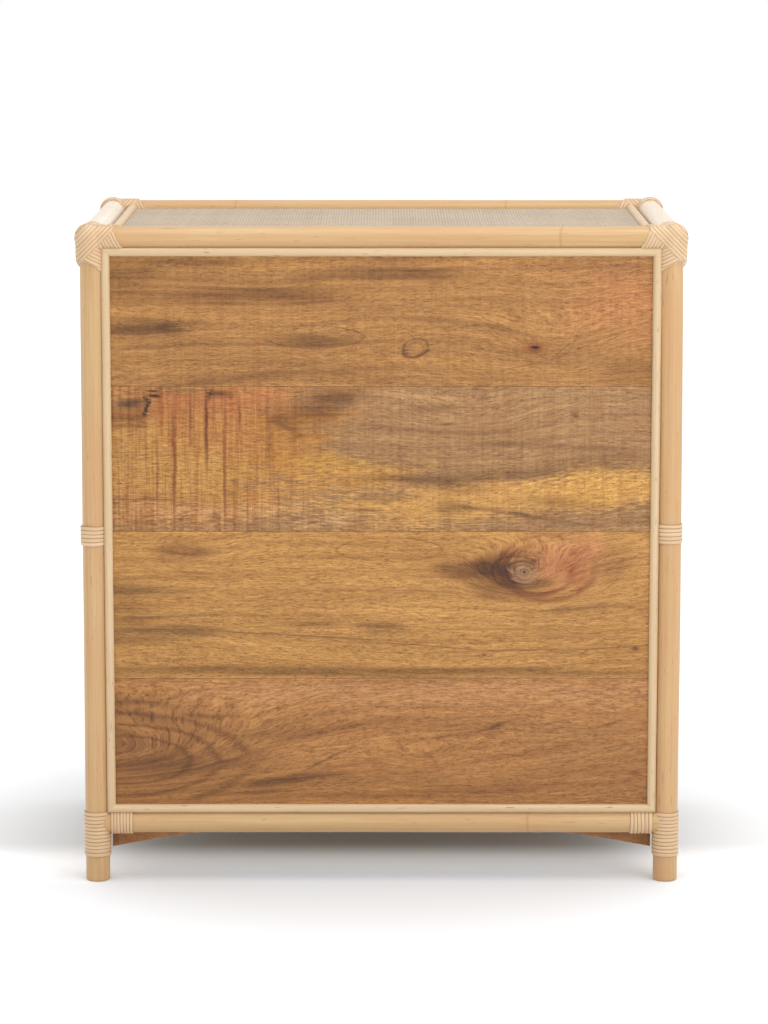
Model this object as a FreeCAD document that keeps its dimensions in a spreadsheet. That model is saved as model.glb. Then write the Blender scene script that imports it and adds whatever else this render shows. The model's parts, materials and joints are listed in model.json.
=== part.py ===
"""A chest of three drawers: a rattan pole frame around mango-wood boards and woven cane mats.

Frame: millimetres, +Z up, origin on the floor under the middle of the chest.
The drawers open towards -Y; the plank back faces +Y; +X is on the right of someone
who faces the drawers.  Each driving dimension is written once, in the sheet.
"""
import FreeCAD, Part
import math
import os
import re
import Sketcher

doc = FreeCAD.newDocument("chest_of_drawers")

# ---------------------------------------------------------------- driving dimensions

DRIVING_DIMENSIONS = [
    ("overall_width", 806, "over the outside of the posts"),
    ("overall_depth", 480, "over the outside of the posts"),
    ("overall_height", 891.5, "floor to the crown of the front and back top rails"),
    ("side_rail_rise", 1.5, "crown of the side top rails above that"),
    ("post_dia", 33, "corner posts"),
    ("top_rail_dia", 30, "front and back top rails"),
    ("side_rail_dia", 35, "top rails of the two sides"),
    ("bottom_rail_dia", 32, "all four bottom rails"),
    ("floor_gap", 66, "floor to the underside of the bottom rails"),
    ("foot_round", 3, "rounding of the foot's edge"),
    ("fit_gap", 0.2, "gap where a fixed piece is fitted beside a pole"),
    ("board_gap", 0.5, "gap between the end of a board and a pole"),
    ("panel_thick", 12, "back planks and side boards"),
    ("panel_set_out", 9, "outer face of a panel beyond the poles' axes"),
    ("low_plank_width", 183, "first back plank, from the bottom"),
    ("lower_mid_plank_width", 201, "second back plank"),
    ("upper_mid_plank_width", 196, "third back plank; the fourth fills the rest"),
    ("trim_width", 12, "half-round cane trim"),
    ("mat_thick", 1.5, "woven cane mat"),
    ("binding_thick", 2.2, "cane peel wound round the poles"),
    ("mid_band_width", 26, "band at half height of each post"),
    ("mid_band_centre", 479, "floor to the middle of that band"),
    ("leg_band_low", 35, "floor to the bottom of the leg binding"),
    ("leg_band_high", 96, "floor to the top of the leg binding"),
    ("rail_band_width", 30, "binding on the bottom rails beside each leg"),
    ("corner_rail_reach", 64, "corner binding along a rail, from the post's axis"),
    ("corner_side_reach", 60, "corner binding along a side rail, from the post's axis"),
    ("corner_post_reach", 55, "corner binding down a post, from the top rail's axis"),
    ("top_board_thick", 12, "board under the top mat"),
    ("top_recess", 11, "top mat below the crown of the top rails"),
    ("top_trim_gap", 3, "open joint between a side pole and the trim beside it"),
    ("bottom_board_thick", 12, "board under the lowest drawer"),
    ("bottom_board_drop", 3.5, "its top below the crown of the bottom rails"),
    ("apron_thick", 15, "arched boards behind the bottom rails"),
    ("apron_end_clearance", 41, "floor to an apron at the legs"),
    ("apron_rise", 37, "rise of the apron's arch"),
    ("apron_set_in", 19, "outer face of an apron inside the posts' axes"),
    ("divider_height", 18, "rails between the drawers"),
    ("divider_depth", 28, "the same, front to back"),
    ("divider_set_back", 2, "their face behind the drawer fronts"),
    ("front_recess", 20, "drawer fronts behind the front of the posts"),
    ("front_thick", 15, "drawer fronts"),
    ("front_gap", 3, "gap round each drawer front"),
    ("box_side_gap", 7, "drawer box to the post beside it"),
    ("box_wall", 12, "drawer sides and backs"),
    ("box_height", 190, "drawer sides and backs"),
    ("box_lift", 10, "drawer side above the bottom of its opening"),
    ("box_bottom_thick", 6, "drawer bottoms"),
    ("groove_depth", 5, "groove that holds a drawer bottom"),
    ("groove_height", 10, "groove above the lower edge of a drawer side"),
    ("runner_clearance", 0.5, "between a drawer box and its runners and stops"),
    ("runner_ledge", 24, "part of a runner that is under the drawer side"),
    ("runner_base", 9, "thickness of that ledge"),
    ("guide_height", 35, "part of a runner beside the drawer side"),
    ("batten_width", 30, "upright battens inside the planks"),
    ("batten_thick", 15, "the same battens, front to back"),
    ("knob_spacing", 380, "between the two knobs of a drawer"),
    ("knob_length", 20.5, "knob in front of the mat"),
    ("knob_radius", 15, "widest part of a knob"),
    ("knob_neck_radius", 7, "narrow part of a knob"),
    ("knob_root_flare", 2, "root of a knob wider than its neck"),
    ("knob_neck_share", 0.3, "neck's place along the knob"),
    ("knob_edge_share", 0.6, "widest place along the knob"),
    ("dowel_radius", 3, "dowel that holds a knob"),
    ("dowel_fit", 0.1, "gap round that dowel"),
    ("lap", 1, "how far joined shapes run into each other, and cuts run past a face"),
]

sheet = doc.addObject("Spreadsheet::Sheet", "Sizes")
for row, (alias, value, note) in enumerate(DRIVING_DIMENSIONS, start=1):
    sheet.set(f"A{row}", note)
    sheet.set(f"B{row}", str(value))
    sheet.setAlias(f"B{row}", alias)
doc.recompute()

ALIASES = {alias for alias, _, _ in DRIVING_DIMENSIONS}
WORD = re.compile(r"[a-z_]+")

# Formulas that several pieces share, written with the sheet's aliases.
POST_R = "(post_dia / 2)"
POST_X = "(overall_width / 2 - post_dia / 2)"
POST_Y = "(overall_depth / 2 - post_dia / 2)"
TOP_R = "(top_rail_dia / 2)"
TOP_Z = f"(overall_height - {TOP_R})"
SIDE_R = "(side_rail_dia / 2)"
SIDE_X = f"(overall_width / 2 - {SIDE_R})"
SIDE_Z = f"(overall_height + side_rail_rise - {SIDE_R})"
LOW_R = "(bottom_rail_dia / 2)"
LOW_Z = f"(floor_gap + {LOW_R})"
BAY_X = "(overall_width / 2 - post_dia)"
BAY_Y = "(overall_depth / 2 - post_dia)"
BAY_BOTTOM = "(floor_gap + bottom_rail_dia)"
BAY_TOP = "(overall_height - top_rail_dia)"
PANEL_Y = f"({POST_Y} + panel_set_out)"
PANEL_X = f"({POST_X} + panel_set_out)"
BOARD_INNER_X = f"({PANEL_X} - panel_thick)"
MAT_TOP = "(overall_height - top_recess)"
BOARD_TOP = f"({MAT_TOP} - mat_thick)"
TOP_BOARD_X = f"({SIDE_X} - {SIDE_R} - board_gap)"
TOP_BOARD_Y = f"({POST_Y} - {TOP_R} - board_gap)"
FLOOR_BOARD_TOP = f"({BAY_BOTTOM} - bottom_board_drop)"
FLOOR_BOARD_UNDER = f"({FLOOR_BOARD_TOP} - bottom_board_thick)"
TRIM_R = "(trim_width / 2)"

DRAWER_COUNT = 3
OPENING = f"(({BAY_TOP} - {BAY_BOTTOM} - {DRAWER_COUNT - 1} * divider_height) / {DRAWER_COUNT})"
FRONT_FACE_Y = "(-overall_depth / 2 + front_recess)"
FRONT_INNER_Y = f"({FRONT_FACE_Y} + front_thick)"
BOX_X = f"({BAY_X} - box_side_gap)"
BATTEN_FRONT_Y = f"({PANEL_Y} - panel_thick - batten_thick)"
BOX_END_Y = f"({BATTEN_FRONT_Y} - runner_clearance)"


def chord(radius, offset):
    """Half the width of a round pole, measured at an offset from its axis."""
    return f"sqrt({radius} * {radius} - {offset} * {offset})"


TRIM_EDGE_X = f"({POST_X} - {chord(POST_R, 'panel_set_out')} - fit_gap)"
TRIM_EDGE_Y = f"({POST_Y} - {chord(POST_R, 'panel_set_out')} - fit_gap)"
TRIM_TOP_Z = f"({TOP_Z} - {chord(TOP_R, 'panel_set_out')} - fit_gap)"
SIDE_TRIM_TOP_Z = f"({SIDE_Z} - {chord(SIDE_R, f'({PANEL_X} - {SIDE_X})')} - fit_gap)"
TRIM_LOW_Z = f"({LOW_Z} + {chord(LOW_R, 'panel_set_out')} + fit_gap)"

# ---------------------------------------------------------------- helpers


def with_sheet(formula):
    """Put the sheet's name before each alias in a formula."""
    return WORD.sub(lambda m: "Sizes." + m.group() if m.group() in ALIASES else m.group(), str(formula))


def bind(obj, **formulas):
    """Tie properties of an object to formulas of the sheet's aliases."""
    for name, formula in formulas.items():
        obj.setExpression(name, with_sheet(formula))


def place(obj, at, turn=None):
    """Tie an object's place to three formulas, after an optional fixed turn."""
    if turn is not None:
        obj.Placement = FreeCAD.Placement(FreeCAD.Vector(), turn)
    for axis, formula in zip("xyz", at):
        obj.setExpression("Placement.Base." + axis, with_sheet(formula))
    return obj


def turned(axis, degrees):
    """A turn about one of the three axes."""
    vector = {"X": (1, 0, 0), "Y": (0, 1, 0), "Z": (0, 0, 1)}[axis]
    return FreeCAD.Rotation(FreeCAD.Vector(*vector), degrees)


def block(name, low, size):
    """A box from its low corner and its three sizes."""
    obj = doc.addObject("Part::Box", name)
    bind(obj, Length=size[0], Width=size[1], Height=size[2])
    return place(obj, low)


def block_between(name, low, high):
    """A box from two opposite corners."""
    size = [f"({top}) - ({bottom})" for bottom, top in zip(low, high)]
    return block(name, low, size)


POLE_TURN = {"X": turned("Y", 90), "Y": turned("X", -90), "Z": turned("Z", 0)}


def rod(name, radius, length, start, axis):
    """A round rod that runs from its start in the + direction of an axis."""
    obj = doc.addObject("Part::Cylinder", name)
    bind(obj, Radius=radius, Height=length)
    return place(obj, start, POLE_TURN[axis])


def cut(name, base, tool):
    """One solid with another taken out of it."""
    obj = doc.addObject("Part::Cut", name)
    obj.Base = base
    obj.Tool = tool
    return obj


def joined(name, pieces):
    """Several solids made one."""
    obj = doc.addObject("Part::MultiFuse", name)
    obj.Shapes = pieces
    return obj


def grouped(name, pieces):
    """Identical pieces that share a node as separate solids."""
    obj = doc.addObject("Part::Compound", name)
    obj.Links = pieces
    return obj


def moved_copy(name, source, at, turn=None):
    """The same piece again in another place."""
    obj = doc.addObject("Part::Compound", name)
    obj.Links = [source]
    return place(obj, at, turn)


subparts = []


def subpart(obj, label):
    """Name a finished piece; its label is also its file's name."""
    obj.Label = label
    subparts.append(obj)
    return obj


class Outline:
    """A closed sketch on one of a body's origin planes, each corner tied to the sheet."""

    def __init__(self, body, plane):
        self.sketch = body.newObject("Sketcher::SketchObject", body.Name + "_outline")
        origin = [f for f in body.Origin.OriginFeatures if f.Role == plane][0]
        self.sketch.AttachmentSupport = [(origin, "")]
        self.sketch.MapMode = "FlatFace"

    def draw(self, corners, arcs=None):
        """Corners are pairs of formulas; arcs gives {edge number: (radius, bulge side)}."""
        sketch = self.sketch
        arcs = arcs or {}
        points = [FreeCAD.Vector(value_of(x), value_of(y), 0) for x, y in corners]
        count = len(points)
        for i, start in enumerate(points):
            end = points[(i + 1) % count]
            if i in arcs:
                sketch.addGeometry(arc_edge(start, end, value_of(arcs[i][0]), arcs[i][1]), False)
            else:
                sketch.addGeometry(Part.LineSegment(start, end), False)
        # A counter-clockwise arc's start is point 1; a clockwise one is drawn from its far end.
        first = [2 if i in arcs and arcs[i][1] < 0 else 1 for i in range(count)]
        for i in range(count):
            after = (i + 1) % count
            sketch.addConstraint(Sketcher.Constraint("Coincident", i, 3 - first[i], after, first[after]))
        for i, (x, y) in enumerate(corners):
            for kind, formula in (("DistanceX", x), ("DistanceY", y)):
                number = sketch.addConstraint(Sketcher.Constraint(kind, i, first[i], value_of(formula)))
                sketch.setExpression(f"Constraints[{number}]", with_sheet(formula))
        for i, (radius, _) in arcs.items():
            number = sketch.addConstraint(Sketcher.Constraint("Radius", i, value_of(radius)))
            sketch.setExpression(f"Constraints[{number}]", with_sheet(radius))
        return sketch


def value_of(formula):
    """The number that a formula of the sheet's aliases gives now."""
    result = sheet.evalExpression(str(formula))
    return float(getattr(result, "Value", result))


def arc_edge(start, end, radius, side):
    """The short arc between two points; side +1 turns left on the way, -1 turns right."""
    middle = (start + end) * 0.5
    half = (end - start) * 0.5
    reach = math.sqrt(max(radius * radius - half.Length ** 2, 0.0))
    left = FreeCAD.Vector(-half.y, half.x, 0).normalize()
    centre = middle + left * (reach * side)
    a, b = (start, end) if side > 0 else (end, start)
    begin = math.atan2(a.y - centre.y, a.x - centre.x)
    finish = math.atan2(b.y - centre.y, b.x - centre.x)
    circle = Part.Circle(centre, FreeCAD.Vector(0, 0, 1), radius)
    return Part.ArcOfCircle(circle, begin, finish if finish > begin else finish + 2 * math.pi)


def lathe_body(name, corners, arcs):
    """A PartDesign body turned about Z from a half profile in X and Z."""
    body = doc.addObject("PartDesign::Body", name)
    sketch = Outline(body, "XZ_Plane").draw(corners, arcs)
    turn = body.newObject("PartDesign::Revolution", name + "_turn")
    turn.Profile = sketch
    turn.ReferenceAxis = (sketch, ["V_Axis"])
    turn.Angle = 360
    return body


def sawn_body(name, corners, arcs, thickness):
    """A PartDesign body sawn from a board: an outline in X and Z, as thick as given."""
    body = doc.addObject("PartDesign::Body", name)
    sketch = Outline(body, "XZ_Plane").draw(corners, arcs)
    pad = body.newObject("PartDesign::Pad", name + "_board")
    pad.Profile = sketch
    bind(pad, Length=thickness)
    return body


SIDES = [("left", -1), ("right", 1)]
ENDS = [("front", -1), ("back", 1)]

# ---------------------------------------------------------------- posts and rails


def make_post(end, side, label):
    """A post with a rounded foot and a domed top that the corner binding hides."""
    flat = f"({POST_R} - foot_round)"
    corners = [("0", "0"), (flat, "0"), (POST_R, "foot_round"),
               (POST_R, f"{TOP_Z} + {TOP_R} - {POST_R}"), ("0", "overall_height")]
    body = lathe_body(label, corners, {1: ("foot_round", 1), 3: (POST_R, 1)})
    place(body, (f"{side} * {POST_X}", f"{end} * {POST_Y}", "0"))
    return subpart(body, label)


posts = {}
for end_name, end in ENDS:
    for side_name, side in SIDES:
        posts[end_name, side_name] = make_post(end, side, f"post_{end_name}_{side_name}")

post_cores = joined("post_cores", [
    rod(f"post_core_{end_name}_{side_name}", POST_R, TOP_Z,
        (f"{side} * {POST_X}", f"{end} * {POST_Y}", "0"), "Z")
    for end_name, end in ENDS for side_name, side in SIDES])
post_tops = joined("post_tops", [post_cores, *posts.values()])

# Front and back rails are coped to the posts.
long_rails = {}
uncoped = {}
for level, radius, height in (("top", TOP_R, TOP_Z), ("bottom", LOW_R, LOW_Z)):
    for end_name, end in ENDS:
        pole = rod(f"{level}_{end_name}_pole", radius, f"2 * {POST_X}",
                   (f"-{POST_X}", f"{end} * {POST_Y}", height), "X")
        uncoped[level, end_name] = pole
        long_rails[level, end] = cut(f"{level}_{end_name}_coped", pole, post_tops)
        subpart(long_rails[level, end], f"{level}_rail_{end_name}")

# Side rails are coped to the posts and, at the top, to the front and back rails too.
side_rails = {}
long_poles = joined("long_poles", [post_tops, *long_rails.values()])
for level, radius, across, height in (("top", SIDE_R, SIDE_X, SIDE_Z), ("bottom", LOW_R, POST_X, LOW_Z)):
    for side_name, side in SIDES:
        pole = rod(f"{level}_{side_name}_pole", radius, f"2 * {POST_Y}",
                   (f"{side} * {across}", f"-{POST_Y}", height), "Y")
        uncoped[level, side_name] = pole
        side_rails[level, side] = cut(f"{level}_{side_name}_coped", pole, long_poles)
        subpart(side_rails[level, side], f"{level}_rail_{side_name}")

# ---------------------------------------------------------------- back of planks

plank_bottom = f"({BAY_BOTTOM} + board_gap)"
plank_top = f"({BAY_TOP} - board_gap)"
plank_widths = ["low_plank_width", "lower_mid_plank_width", "upper_mid_plank_width"]
plank_level = plank_bottom
for number in range(1, 5):
    next_level = f"({plank_level} + {plank_widths[number - 1]})" if number < 4 else plank_top
    plank = block_between(f"plank_{number}",
                          (f"-({BAY_X} - board_gap)", f"{PANEL_Y} - panel_thick", plank_level),
                          (f"{BAY_X} - board_gap", PANEL_Y, next_level))
    subpart(plank, f"back_plank_{number}")
    plank_level = next_level

battens = []
for number, shift in enumerate((-1, 0, 1), start=1):
    middle = f"({shift} * ({BAY_X} - board_gap - batten_width / 2))"
    battens.append(block(f"batten_{number}", (f"{middle} - batten_width / 2", BATTEN_FRONT_Y, plank_bottom),
                         ("batten_width", "batten_thick", f"{plank_top} - {plank_bottom}")))
subpart(grouped("battens", battens), "back_battens")

# ---------------------------------------------------------------- half-round trims


def trim_strip(name, length, mitred=True):
    """A half-round strip along X with its flat on Z = 0 and its outer edge on Y = 0."""
    lengthwise = doc.addObject("Part::Wedge", name + "_mitre")
    inset = "trim_width" if mitred else "0"
    bind(lengthwise, Xmin=f"-({length}) / 2", Xmax=f"({length}) / 2", Ymin="0", Ymax="trim_width",
         Zmin="0", Zmax="trim_width", Z2min="0", Z2max="trim_width",
         X2min=f"-({length}) / 2 + {inset}", X2max=f"({length}) / 2 - {inset}")
    round_rod = rod(name + "_round", TRIM_R, length, (f"-({length}) / 2", TRIM_R, "0"), "X")
    strip = doc.addObject("Part::Common", name)
    strip.Base = lengthwise
    strip.Tool = round_rod
    return strip


def trim_frame(name, half_width, half_height):
    """Four mitred strips around a rectangle in X and Y, flats on Z = 0: two level, two upright."""
    cross = trim_strip(name + "_cross_strip", f"2 * ({half_width})")
    upright = trim_strip(name + "_upright_strip", f"2 * ({half_height})")
    level = [moved_copy(name + "_low", cross, ("0", f"-({half_height})", "0")),
             moved_copy(name + "_high", cross, ("0", half_height, "0"), turned("Z", 180))]
    upright_pair = [moved_copy(name + "_near", upright, (f"-({half_width})", "0", "0"), turned("Z", -90)),
                    moved_copy(name + "_far", upright, (half_width, "0", "0"), turned("Z", 90))]
    return level, upright_pair


FACING_BACK = FreeCAD.Rotation(FreeCAD.Vector(-1, 0, 0), FreeCAD.Vector(0, 0, 1), FreeCAD.Vector(0, 1, 0))
FACING_FRONT = FreeCAD.Rotation(FreeCAD.Vector(1, 0, 0), FreeCAD.Vector(0, 0, 1), FreeCAD.Vector(0, -1, 0))
FACING_RIGHT = FreeCAD.Rotation(FreeCAD.Vector(0, 1, 0), FreeCAD.Vector(0, 0, 1), FreeCAD.Vector(1, 0, 0))
FACING_LEFT = FreeCAD.Rotation(FreeCAD.Vector(0, -1, 0), FreeCAD.Vector(0, 0, 1), FreeCAD.Vector(-1, 0, 0))

back_middle = f"(({TRIM_TOP_Z} + {TRIM_LOW_Z}) / 2)"
level, upright_pair = trim_frame("back_frame", TRIM_EDGE_X, f"({TRIM_TOP_Z} - {TRIM_LOW_Z}) / 2")
level_group = grouped("back_frame_level", level)
subpart(place(level_group, ("0", PANEL_Y, back_middle), FACING_BACK), "back_trim_level")
upright_group = grouped("back_frame_upright", upright_pair)
subpart(place(upright_group, ("0", PANEL_Y, back_middle), FACING_BACK), "back_trim_upright")

# ---------------------------------------------------------------- sides

side_half_height = f"(({SIDE_TRIM_TOP_Z} - {TRIM_LOW_Z}) / 2)"
side_middle = f"(({SIDE_TRIM_TOP_Z} + {TRIM_LOW_Z}) / 2)"
side_board_top = f"({SIDE_Z} - {SIDE_R} - board_gap)"
side_level, side_upright = trim_frame("side_frame", TRIM_EDGE_Y, side_half_height)
for side_name, side in SIDES:
    inner, outer = f"{side} * {BOARD_INNER_X}", f"{side} * {PANEL_X}"
    low, high = (inner, outer) if side > 0 else (outer, inner)
    board = block_between(f"side_board_{side_name}_slab", (low, f"-({BAY_Y} - board_gap)", plank_bottom),
                          (high, f"{BAY_Y} - board_gap", side_board_top))
    subpart(board, f"side_board_{side_name}")
    mat_face = f"{side} * ({PANEL_X} + mat_thick)"
    low, high = (outer, mat_face) if side > 0 else (mat_face, outer)
    mat_y = f"({TRIM_EDGE_Y} - trim_width - fit_gap)"
    mat = block_between(f"side_mat_{side_name}_sheet",
                        (low, f"-{mat_y}", f"{TRIM_LOW_Z} + trim_width + fit_gap"),
                        (high, mat_y, f"{SIDE_TRIM_TOP_Z} - trim_width - fit_gap"))
    subpart(mat, f"side_mat_{side_name}")
    strips = grouped(f"side_trim_{side_name}_strips", side_level + side_upright)
    place(strips, (outer, "0", side_middle), FACING_RIGHT if side > 0 else FACING_LEFT)
    subpart(strips, f"side_trim_{side_name}")

# ---------------------------------------------------------------- top

subpart(block_between("top_slab", (f"-{TOP_BOARD_X}", f"-{TOP_BOARD_Y}", f"{BOARD_TOP} - top_board_thick"),
                      (TOP_BOARD_X, TOP_BOARD_Y, BOARD_TOP)), "top_board")
subpart(block_between("top_sheet", (f"-{TOP_BOARD_X}", f"-{TOP_BOARD_Y}", BOARD_TOP),
                      (TOP_BOARD_X, TOP_BOARD_Y, MAT_TOP)), "top_mat")
top_strip = trim_strip("top_strip", f"2 * {TOP_BOARD_Y}", mitred=False)
top_trim_edge = f"({SIDE_X} - {SIDE_R} - top_trim_gap)"
top_strips = [moved_copy(f"top_strip_{side_name}", top_strip, (f"{side} * {top_trim_edge}", "0", MAT_TOP),
                         turned("Z", 90 * side))
              for side_name, side in SIDES]
subpart(grouped("top_strips", top_strips), "top_trim")

# ---------------------------------------------------------------- base

bottom_x = f"({POST_X} - {LOW_R} - board_gap)"
bottom_y = f"({POST_Y} - {LOW_R} - board_gap)"
subpart(block_between("bottom_slab", (f"-{bottom_x}", f"-{bottom_y}", FLOOR_BOARD_UNDER),
                      (bottom_x, bottom_y, FLOOR_BOARD_TOP)), "bottom_board")


def apron_board(name, half_length):
    """A board with an arched lower edge, in X and Z, its outer face on Y = 0."""
    radius = f"((({half_length}) * ({half_length}) + apron_rise * apron_rise) / (2 * apron_rise))"
    corners = [(half_length, "apron_end_clearance"), (half_length, FLOOR_BOARD_UNDER),
               (f"-({half_length})", FLOOR_BOARD_UNDER), (f"-({half_length})", "apron_end_clearance")]
    return sawn_body(name, corners, {3: (radius, -1)}, "apron_thick")


apron_x = f"({POST_X} - apron_set_in)"
apron_y = f"({POST_Y} - apron_set_in)"
long_apron = apron_board("long_apron", apron_x)
short_apron = apron_board("short_apron", f"{apron_y} - apron_thick")
for end_name, end in ENDS:
    shift = f"{apron_y}" if end > 0 else f"-{apron_y} + apron_thick"
    subpart(moved_copy(f"{end_name}_apron_board", long_apron, ("0", shift, "0")), f"{end_name}_apron")
short_aprons = [moved_copy(f"{side_name}_apron_board", short_apron,
                           (f"{side} * {apron_x}", "0", "0"), turned("Z", -90 * side))
                for side_name, side in SIDES]
subpart(grouped("side_apron_pair", short_aprons), "side_aprons")

# ---------------------------------------------------------------- divider rails and runners


def opening_bottom(number):
    """Floor of the opening of a drawer; the lowest is number 1."""
    return f"({BAY_BOTTOM} + {number - 1} * ({OPENING} + divider_height))"


divider_front = f"({FRONT_FACE_Y} + divider_set_back)"
dividers = [block(f"divider_{number}",
                  (f"-({BAY_X} - board_gap)", divider_front, f"{opening_bottom(number)} + {OPENING}"),
                  (f"2 * ({BAY_X} - board_gap)", "divider_depth", "divider_height"))
            for number in range(1, DRAWER_COUNT)]
subpart(grouped("divider_pair", dividers), "drawer_dividers")

runner_front = f"({divider_front} + divider_depth)"
runner_back = f"(min({BATTEN_FRONT_Y}; {BAY_Y}) - board_gap)"
guide_x = f"({BOX_X} + runner_clearance)"
for side_name, side in SIDES:
    runners = []
    for number in range(1, DRAWER_COUNT + 1):
        ledge_top = f"({opening_bottom(number)} + box_lift - runner_clearance)"
        pieces = []
        for part_name, inner, low, high in (
                ("ledge", f"({guide_x} - runner_ledge)", f"{ledge_top} - runner_base", ledge_top),
                ("guide", guide_x, f"{ledge_top} - lap", f"{ledge_top} + guide_height")):
            near = f"{inner}" if side > 0 else f"-{BOARD_INNER_X}"
            far = f"{BOARD_INNER_X}" if side > 0 else f"-{inner}"
            pieces.append(block_between(f"runner_{side_name}_{number}_{part_name}",
                                        (near, runner_front, low), (far, runner_back, high)))
        runners.append(joined(f"runner_{side_name}_{number}", pieces))
    subpart(grouped(f"runners_{side_name}_set", runners), f"drawer_runners_{side_name}")

# ---------------------------------------------------------------- drawers

knob_face = f"({FRONT_FACE_Y} - mat_thick)"
knob_corners = [("0", "0"), ("knob_neck_radius + knob_root_flare", "0"),
                ("knob_neck_radius", "knob_length * knob_neck_share"),
                ("knob_radius", "knob_length * knob_edge_share"), ("0", "knob_length")]
knob_head = "(knob_length * (1 - knob_edge_share))"
knob_head_radius = f"((knob_radius * knob_radius + {knob_head} * {knob_head}) / (2 * {knob_head}))"
knob = lathe_body("turned_knob", knob_corners, {3: (knob_head_radius, 1)})
knob_dowel = rod("knob_dowel", "dowel_radius", "front_thick + mat_thick + lap",
                 ("0", "0", "-front_thick - mat_thick"), "Z")
doweled_knob = joined("doweled_knob", [knob, knob_dowel])

front_half_x = f"({BAY_X} - front_gap)"
front_half_z = f"({OPENING} / 2 - front_gap)"
front_level, front_upright = trim_frame("front_frame", front_half_x, front_half_z)

for number in range(1, DRAWER_COUNT + 1):
    base = opening_bottom(number)
    middle = f"({base} + {OPENING} / 2)"
    side_bottom = f"({base} + box_lift)"
    side_top = f"({side_bottom} + box_height)"
    groove_z = f"({side_bottom} + groove_height)"
    label = f"drawer_{number}"

    holes = joined(f"{label}_holes", [
        rod(f"{label}_hole_{side_name}", "dowel_radius + dowel_fit", "front_thick + mat_thick + 2 * lap",
            (f"{side} * knob_spacing / 2", f"{knob_face} - lap", middle), "Y")
        for side_name, side in SIDES])
    slab = block_between(f"{label}_front_slab",
                         (f"-{front_half_x}", FRONT_FACE_Y, f"{middle} - {front_half_z}"),
                         (front_half_x, FRONT_INNER_Y, f"{middle} + {front_half_z}"))
    subpart(cut(f"{label}_front_bored", slab, holes), f"{label}_front")

    mat_x = f"({front_half_x} - trim_width - fit_gap)"
    mat_z = f"({front_half_z} - trim_width - fit_gap)"
    sheet_piece = block_between(f"{label}_mat_sheet", (f"-{mat_x}", knob_face, f"{middle} - {mat_z}"),
                                (mat_x, FRONT_FACE_Y, f"{middle} + {mat_z}"))
    subpart(cut(f"{label}_mat_bored", sheet_piece, holes), f"{label}_mat")

    strips = grouped(f"{label}_trim_strips", front_level + front_upright)
    subpart(place(strips, ("0", FRONT_FACE_Y, middle), FACING_FRONT), f"{label}_trim")

    box_sides = []
    floor_top = f"({groove_z} + box_bottom_thick)"
    groove = block_between(f"{label}_groove",
                           (f"-({BOX_X} - box_wall + groove_depth)", FRONT_INNER_Y, groove_z),
                           (f"{BOX_X} - box_wall + groove_depth", BOX_END_Y, floor_top))
    for side_name, side in SIDES:
        near = f"({BOX_X} - box_wall)" if side > 0 else f"-{BOX_X}"
        wall = block(f"{label}_wall_{side_name}", (near, FRONT_INNER_Y, side_bottom),
                     ("box_wall", f"{BOX_END_Y} - {FRONT_INNER_Y}", "box_height"))
        box_sides.append(cut(f"{label}_side_{side_name}", wall, groove))
    subpart(grouped(f"{label}_side_pair", box_sides), f"{label}_sides")

    subpart(block_between(f"{label}_back_wall",
                          (f"-({BOX_X} - box_wall)", f"{BOX_END_Y} - box_wall", floor_top),
                          (f"{BOX_X} - box_wall", BOX_END_Y, side_top)), f"{label}_back")
    subpart(block_between(f"{label}_floor",
                          (f"-({BOX_X} - box_wall + groove_depth - fit_gap)", FRONT_INNER_Y, groove_z),
                          (f"{BOX_X} - box_wall + groove_depth - fit_gap", BOX_END_Y,
                           f"{groove_z} + box_bottom_thick")), f"{label}_bottom")

    knobs = [moved_copy(f"{label}_knob_{side_name}", doweled_knob,
                        (f"{side} * knob_spacing / 2", knob_face, middle), turned("X", 90))
             for side_name, side in SIDES]
    subpart(grouped(f"{label}_knob_pair", knobs), f"{label}_knobs")

# ---------------------------------------------------------------- cane bindings

# The cane stops where the panels, their trims, the aprons, the top and the drawers begin.
beyond = "overall_depth"
clear_x = f"({TRIM_EDGE_X} + fit_gap)"
clear_y = f"({TRIM_EDGE_Y} + fit_gap)"
clear_low = f"({TRIM_LOW_Z} - fit_gap)"
clear_back = block_between("clear_back", (f"-{clear_x}", "0", clear_low),
                           (clear_x, beyond, f"{TRIM_TOP_Z} + fit_gap"))
clear_front = block_between("clear_front", (f"-{clear_x}", f"-{beyond}", clear_low),
                            (clear_x, "0", f"{TRIM_TOP_Z} + fit_gap"))
clear_across = block_between("clear_across", ("-overall_width", f"-{clear_y}", clear_low),
                             ("overall_width", clear_y, f"{SIDE_TRIM_TOP_Z} + fit_gap"))
clear_top = block_between("clear_top", (f"-{TOP_BOARD_X}", f"-{TOP_BOARD_Y}", BAY_TOP),
                          (TOP_BOARD_X, TOP_BOARD_Y, "2 * overall_height"))
clear_base = block_between("clear_base", (f"-{bottom_x}", f"-{bottom_y}", "0"),
                           (bottom_x, bottom_y, BAY_BOTTOM))
clear_blocks = [clear_back, clear_front, clear_across, clear_top, clear_base]


def binding(label, sleeves):
    """Cane wound round a corner's poles: sleeves one peel thick, cut back where other pieces lie."""
    wound = []
    for (end_name, side_name), sleeve in sleeves:
        piece = sleeve
        level = "top" if label == "corner_bindings" else "bottom"
        cutters = [posts[end_name, side_name], uncoped[level, end_name], uncoped[level, side_name]]
        cutters.extend(clear_blocks)
        for number, cutter in enumerate(cutters):
            piece = cut(f"{sleeve.Name}_trimmed_{number}", piece, cutter)
        wound.append(piece)
    return subpart(grouped(f"{label}_group", wound), label)


def post_sleeve(name, side, end, low, high):
    return rod(name, f"{POST_R} + binding_thick", f"({high}) - ({low})",
               (f"{side} * {POST_X}", f"{end} * {POST_Y}", low), "Z")


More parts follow.
